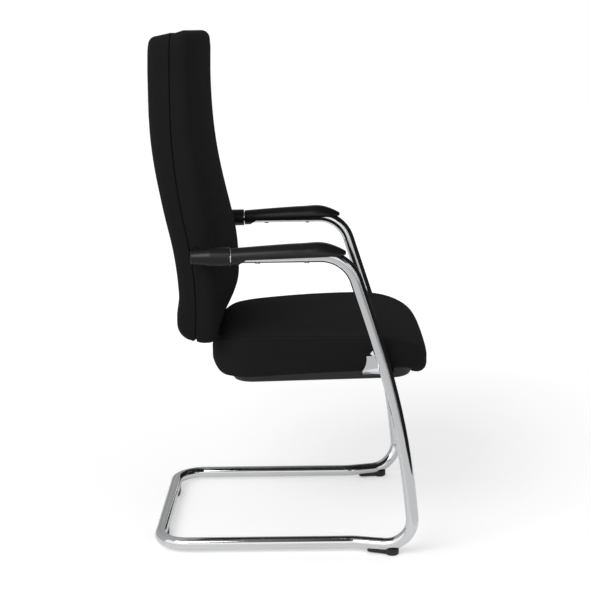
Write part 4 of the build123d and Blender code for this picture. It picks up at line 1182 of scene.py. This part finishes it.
class CHAIR_OT_seat(bpy.types.Operator):
    """Make the seat cushion: pressed out as cloth, pressed in by the back and notched for the bar."""

    bl_idname = "chair.seat_cushion"
    bl_label = "Seat cushion"

    def execute(self, context):
        upholstery = context.scene.chair_upholstery
        finishes = context.scene.chair_finishes
        piece, seam = seat_shell(upholstery)
        swell(piece, upholstery)
        refine(piece)
        clear_of_back(piece.data)
        for front, high in (UPPER_NOTCH, LOWER_NOTCH):
            cut(piece, box_cutter((NOTCH_REAR, -BAR_SIDE, NOTCH_LOW), (front, BAR_SIDE, high)))
        finish_soft(piece, fabric_material(finishes), "seat_cushion")
        path = stitch_path(piece, seam, upholstery.stitch_inset)
        stitches = bpy.data.objects.new("seat_stitches", path)
        context.scene.collection.objects.link(stitches)
        tree = stitch_tree()
        maker = stitches.modifiers.new("stitches", "NODES")
        maker.node_group = tree
        names = {i.name: i.identifier for i in tree.interface.items_tree if i.in_out == "INPUT"}
        maker[names["Pitch"]] = upholstery.stitch_pitch
        maker[names["Length"]] = upholstery.stitch_length
        maker[names["Radius"]] = upholstery.stitch_radius
        maker[names["Thread"]] = thread_material(finishes)
        replace_mesh(stitches, evaluated_mesh(stitches))
        smooth_shading(stitches.data)
        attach(stitches, "root")
        return {"FINISHED"}


class CHAIR_OT_back(bpy.types.Operator):
    """Make the two upholstered halves of the back."""

    bl_idname = "chair.back_cushions"
    bl_label = "Back cushions"

    def execute(self, context):
        upholstery = context.scene.chair_upholstery
        finishes = context.scene.chair_finishes
        b = BACK
        front_edges = (
            b["edge_front"], b["end_low"], b["end_top"], b["seam_run_front"], b["top_fall_front"], 0.0,
        )
        front = back_shell(
            "back_front_upholstery", upholstery, b["front_low"], b["top"], front_depth, front_crown,
            front_edges, 1, b["board_front"] + FIT_GAP,
        )
        swell(front, upholstery)
        refine(front)
        for side in (-1, 1):
            cut(front, stub_cutter(side))
        bar = seam_x(np.array(b["low_upright"])) + b["board_front"] + FIT_GAP
        bar_low = (bar - BAR_CUT_BEHIND, -BAR_SIDE, BAR_CUT_LOW)
        bar_high = (bar + BAR_THICK + BAR_CUT_AHEAD, BAR_SIDE, BAR_TOP + 1.0)
        cut(front, box_cutter(bar_low, bar_high))
        finish_soft(front, fabric_material(finishes), "back_front_cushion")
        rear_edges = (
            b["edge_rear"], b["end_rear"], b["end_rear_top"], b["seam_run_rear"], 0.0, b["top_fall_rear"],
        )
        rear = back_shell(
            "back_rear_upholstery", upholstery, b["rear_low"], b["top"] - b["rear_short"], rear_depth,
            lambda z: np.full(np.shape(z), b["rear_crown"]), rear_edges, -1, b["rear_recess"],
        )
        swell(rear, upholstery)
        refine(rear)
        finish_soft(rear, fabric_material(finishes), "back_rear_cushion")
        return {"FINISHED"}


class CHAIR_OT_frame(bpy.types.Operator):
    """Finish the bent tube, its brackets and the steel under the seat."""

    bl_idname = "chair.frame_finish"
    bl_label = "Frame and steel"

    def execute(self, context):
        finishes = context.scene.chair_finishes
        chrome = plated_material("bright_chrome", finishes.chrome_colour, 0.025, 0.085, 0.97, 1.03)
        paint = moulded_material("powder_coat", finishes.paint_colour, 0.38, 0.52, 420.0, 0.0002)
        zinc = plated_material("zinc_plate", finishes.zinc_colour, 0.26, 0.46, 0.85, 1.15)
        dress(chrome, *both("frame_tube"), *both("seat_bracket"), "arm_pad_screws")
        dress(paint, "seat_bridge", "back_bar", *both("back_stub"))
        dress(zinc, "frame_splice", "glide_screws", "stub_screws", "bar_bolts")
        dress(zinc, "tee_nuts", "seat_bolts", "cover_screws")
        return {"FINISHED"}


class CHAIR_OT_mouldings(bpy.types.Operator):
    """Finish the arm pads, sleeves, glides and the cover under the seat."""

    bl_idname = "chair.mouldings"
    bl_label = "Mouldings"

    def execute(self, context):
        finishes = context.scene.chair_finishes
        pad = moulded_material("arm_plastic", finishes.pad_colour, 0.22, 0.34, 1500.0, 0.00008, 0.28)
        glide = moulded_material("glide_plastic", finishes.glide_colour, 0.40, 0.55, 1200.0, 0.0001)
        cover = moulded_material("cover_plastic", finishes.cover_colour, 0.45, 0.6, 900.0, 0.00015, 0.3)
        dress(pad, *both("arm_pad"), *both("arm_sleeve"))
        dress(glide, *both("glide_front"), *both("glide_rear"))
        dress(cover, "seat_cover")
        return {"FINISHED"}


class CHAIR_OT_boards(bpy.types.Operator):
    """Finish the plywood boards inside seat and back."""

    bl_idname = "chair.boards"
    bl_label = "Boards"

    def execute(self, context):
        dress(plywood_material(context.scene.chair_finishes), "seat_board", "back_board")
        return {"FINISHED"}


def reflected_card(name, corners, levels):
    """Studio card of one or more quads that only shows in reflections, shaded from first edge to last."""
    mesh = bpy.data.meshes.new(name)
    quads = len(corners) // 4
    mesh.from_pydata(corners, [], [tuple(range(4 * i, 4 * i + 4)) for i in range(quads)])
    layer = mesh.uv_layers.new(name="card")
    layer.data.foreach_set("uv", [0, 0, 1, 0, 1, 1, 0, 1] * quads)
    thing = bpy.data.objects.new(name, mesh)
    bpy.context.scene.collection.objects.link(thing)
    material = bpy.data.materials.new(name)
    material.use_nodes = True
    tree = material.node_tree
    tree.nodes.clear()
    coords = tree.nodes.new("ShaderNodeTexCoord")
    split = tree.nodes.new("ShaderNodeSeparateXYZ")
    tree.links.new(coords.outputs["UV"], split.inputs[0])
    glow = tree.nodes.new("ShaderNodeEmission")
    tree.links.new(spread_range(tree, split.outputs[0], *levels), glow.inputs["Strength"])
    out = tree.nodes.new("ShaderNodeOutputMaterial")
    tree.links.new(glow.outputs[0], out.inputs["Surface"])
    mesh.materials.append(material)
    thing.visible_camera = False
    thing.visible_diffuse = False
    thing.visible_shadow = False
    thing.visible_transmission = False


def card(name, start, end, height, levels):
    """Upright card over a line on the floor."""
    lift = Vector((0, 0, height))
    reflected_card(name, [Vector(start), Vector(end), Vector(end) + lift, Vector(start) + lift], levels)


def ceiling(name, low, high, height, levels):
    """Level card overhead, between two corners."""
    spots = ((low[0], low[1]), (high[0], low[1]), (high[0], high[1]), (low[0], high[1]))
    reflected_card(name, [(x, y, height) for x, y in spots], levels)


def floor_ring(name, inner, outer, levels):
    """Card that lies round the chair, just over the floor."""
    corners = []
    step = 2 * pi / RING_PARTS
    for i in range(RING_PARTS):
        start = i * step
        end = (i + 1) * step
        for radius, angle in ((inner, start), (outer, start), (outer, end), (inner, end)):
            corners.append((radius * cos(angle), radius * sin(angle), RING_LIFT))
    reflected_card(name, corners, levels)


def soft_lamp(name, place, size, power):
    """Rectangular lamp that points at the chair and is not seen itself."""
    lamp = bpy.data.lights.new(name, "AREA")
    lamp.shape = "RECTANGLE"
    lamp.size, lamp.size_y = size
    lamp.energy = power
    thing = bpy.data.objects.new(name, lamp)
    bpy.context.scene.collection.objects.link(thing)
    thing.location = place
    thing.rotation_euler = (Vector(LAMP_TARGET) - Vector(place)).to_track_quat("-Z", "Y").to_euler()
    thing.visible_camera = False


class CHAIR_OT_stage(bpy.types.Operator):
    """Pale floor, white surround, soft lamps, dark cards for the chrome and the camera."""

    bl_idname = "chair.stage"
    bl_label = "Studio"

    def execute(self, context):
        scene = context.scene
        stage = scene.chair_stage
        self.surround(scene, stage)
        self.floor(stage)
        soft_lamp("key_lamp", (-1.6, -2.6, 2.6), (2.4, 2.0), stage.key_power)
        soft_lamp("fill_lamp", (2.6, -1.2, 1.9), (1.8, 1.8), stage.fill_power)
        dark = (DARK, DARK)
        card("card_right", (CARD_SIDE, -0.86, 0.0), (CARD_SIDE, CARD_FAR, 0.0), CARD_HEIGHT, dark)
        card("card_right_front", (CARD_SIDE, -1.25, 0.0), (CARD_SIDE, -1.0, 0.0), CARD_HEIGHT, dark)
        card("card_left", (-CARD_SIDE, -0.3, 0.0), (-CARD_SIDE, CARD_FAR, 0.0), 1.5, (0.42, 0.25))
        floor_ring("card_floor", 0.47, 9.0, (0.62, 0.30))
        card("card_behind", (CARD_SIDE, 3.6, 0.0), (-3.0, 3.6, 0.0), ROOM_HEIGHT, (0.30, 0.48))
        card("card_beside_camera", (0.78, -2.0, 0.0), (0.98, -1.9, 0.0), 1.7, (0.10, 0.10))
        bands = (
            ("card_above_left", -ROOM_HALF, -0.9, (0.42, 0.36)),
            ("card_above", -0.9, 0.35, (0.36, DARK)),
            ("card_above_right", 0.35, ROOM_HALF, dark),
        )
        for name, left, right, levels in bands:
            ceiling(name, (left, ROOM_NEAR), (right, ROOM_FAR), ROOM_HEIGHT, levels)
        self.camera(scene, stage)
        scene.view_settings.view_transform = "Standard"
        return {"FINISHED"}

    @staticmethod
    def surround(scene, stage):
        """World that is white where it is seen or mirrored, and softer as a light."""
        world = bpy.data.worlds.new("studio")
        scene.world = world
        world.use_nodes = True
        tree = world.node_tree
        tree.nodes.clear()
        rays = tree.nodes.new("ShaderNodeLightPath")
        seen = maths(tree, "MAXIMUM", rays.outputs["Is Camera Ray"], rays.outputs["Is Glossy Ray"])
        seen = maths(tree, "MAXIMUM", seen, rays.outputs["Is Transmission Ray"])
        soft = tree.nodes.new("ShaderNodeBackground")
        soft.inputs["Strength"].default_value = stage.ambient
        white = tree.nodes.new("ShaderNodeBackground")
        white.inputs["Strength"].default_value = 1.0
        for node in (soft, white):
            node.inputs["Color"].default_value = (1, 1, 1, 1)
        mix = tree.nodes.new("ShaderNodeMixShader")
        out = tree.nodes.new("ShaderNodeOutputWorld")
        tree.links.new(seen, mix.inputs[0])
        tree.links.new(soft.outputs[0], mix.inputs[1])
        tree.links.new(white.outputs[0], mix.inputs[2])
        tree.links.new(mix.outputs[0], out.inputs["Surface"])

    @staticmethod
    def floor(stage):
        """Pale round floor, with light added where the camera sees it and a share of that in reflections."""
        work = bmesh.new()
        bmesh.ops.create_circle(work, cap_ends=True, segments=96, radius=FLOOR_RADIUS)
        bmesh.ops.translate(work, vec=(0, 0, -FLOOR_DROP), verts=work.verts)
        thing = bmesh_object("floor", work)
        material = bpy.data.materials.new("floor")
        material.use_nodes = True
        tree = material.node_tree
        tree.nodes.clear()
        matt = tree.nodes.new("ShaderNodeBsdfDiffuse")
        matt.inputs["Color"].default_value = (*stage.floor_colour, 1)
        glow = tree.nodes.new("ShaderNodeEmission")
        rays = tree.nodes.new("ShaderNodeLightPath")
        mirrored = maths(tree, "MAXIMUM", rays.outputs["Is Glossy Ray"], rays.outputs["Is Transmission Ray"])
        mirrored = maths(tree, "MULTIPLY", mirrored, stage.floor_sheen)
        seen = maths(tree, "MAXIMUM", rays.outputs["Is Camera Ray"], mirrored)
        coords = tree.nodes.new("ShaderNodeTexCoord")
        away = tree.nodes.new("ShaderNodeVectorMath")
        away.operation = "LENGTH"
        tree.links.new(coords.outputs["Object"], away.inputs[0])
        lift = tree.nodes.new("ShaderNodeMapRange")
        lift.interpolation_type = "SMOOTHSTEP"
        lift.inputs["From Min"].default_value = FLOOR_NEAR_LIGHT
        lift.inputs["From Max"].default_value = FLOOR_FAR_LIGHT
        lift.inputs["To Min"].default_value = stage.floor_lift
        lift.inputs["To Max"].default_value = stage.floor_far
        tree.links.new(away.outputs["Value"], lift.inputs["Value"])
        tree.links.new(maths(tree, "MULTIPLY", seen, lift.outputs["Result"]), glow.inputs["Strength"])
        both = tree.nodes.new("ShaderNodeAddShader")
        out = tree.nodes.new("ShaderNodeOutputMaterial")
        tree.links.new(matt.outputs[0], both.inputs[0])
        tree.links.new(glow.outputs[0], both.inputs[1])
        tree.links.new(both.outputs[0], out.inputs["Surface"])
        thing.data.materials.append(material)

    @staticmethod
    def camera(scene, stage):
        """Camera that stands where the photograph was taken from."""
        flat = cos(CAMERA_PITCH)
        ahead = Vector((sin(CAMERA_YAW) * flat, cos(CAMERA_YAW) * flat, -sin(CAMERA_PITCH)))
        level = Vector((cos(CAMERA_YAW), -sin(CAMERA_YAW), 0))
        down = ahead.cross(level)
        right = cos(CAMERA_ROLL) * level + sin(CAMERA_ROLL) * down
        below = -sin(CAMERA_ROLL) * level + cos(CAMERA_ROLL) * down
        data = bpy.data.cameras.new("camera")
        data.sensor_width = 36.0
        data.lens = stage.lens
        data.clip_end = 100.0
        thing = bpy.data.objects.new("camera", data)
        scene.collection.objects.link(thing)
        turned = Matrix((right, -below, -ahead)).transposed().to_4x4()
        thing.matrix_world = Matrix.Translation(CAMERA_PLACE) @ turned
        scene.camera = thing


class CHAIR_PT_panel(bpy.types.Panel):
    """Steps that dress the chair, in order."""

    bl_idname = "CHAIR_PT_panel"
    bl_label = "Visitor chair"
    bl_space_type = "VIEW_3D"
    bl_region_type = "UI"
    bl_category = "Chair"

    def draw(self, context):
        for step in STEPS:
            self.layout.operator(step.bl_idname)
        for settings in ("chair_upholstery", "chair_finishes", "chair_stage"):
            box = self.layout.box()
            group = getattr(context.scene, settings)
            for key in group.__annotations__:
                box.prop(group, key)


STEPS = (CHAIR_OT_seat, CHAIR_OT_back, CHAIR_OT_frame, CHAIR_OT_mouldings, CHAIR_OT_boards, CHAIR_OT_stage)
CLASSES = (ChairUpholstery, ChairFinishes, ChairStage, *STEPS, CHAIR_PT_panel)


def register():
    for cls in CLASSES:
        bpy.utils.register_class(cls)
    bpy.types.Scene.chair_upholstery = bpy.props.PointerProperty(type=ChairUpholstery)
    bpy.types.Scene.chair_finishes = bpy.props.PointerProperty(type=ChairFinishes)
    bpy.types.Scene.chair_stage = bpy.props.PointerProperty(type=ChairStage)


def unregister():
    del bpy.types.Scene.chair_stage
    del bpy.types.Scene.chair_finishes
    del bpy.types.Scene.chair_upholstery
    for cls in reversed(CLASSES):
        bpy.utils.unregister_class(cls)


def main():
    """Dress the chair and build the studio."""
    register()
    bpy.ops.chair.seat_cushion()
    bpy.ops.chair.back_cushions()
    bpy.ops.chair.frame_finish()
    bpy.ops.chair.mouldings()
    bpy.ops.chair.boards()
    bpy.ops.chair.stage()


if __name__ == "__main__":
    main()
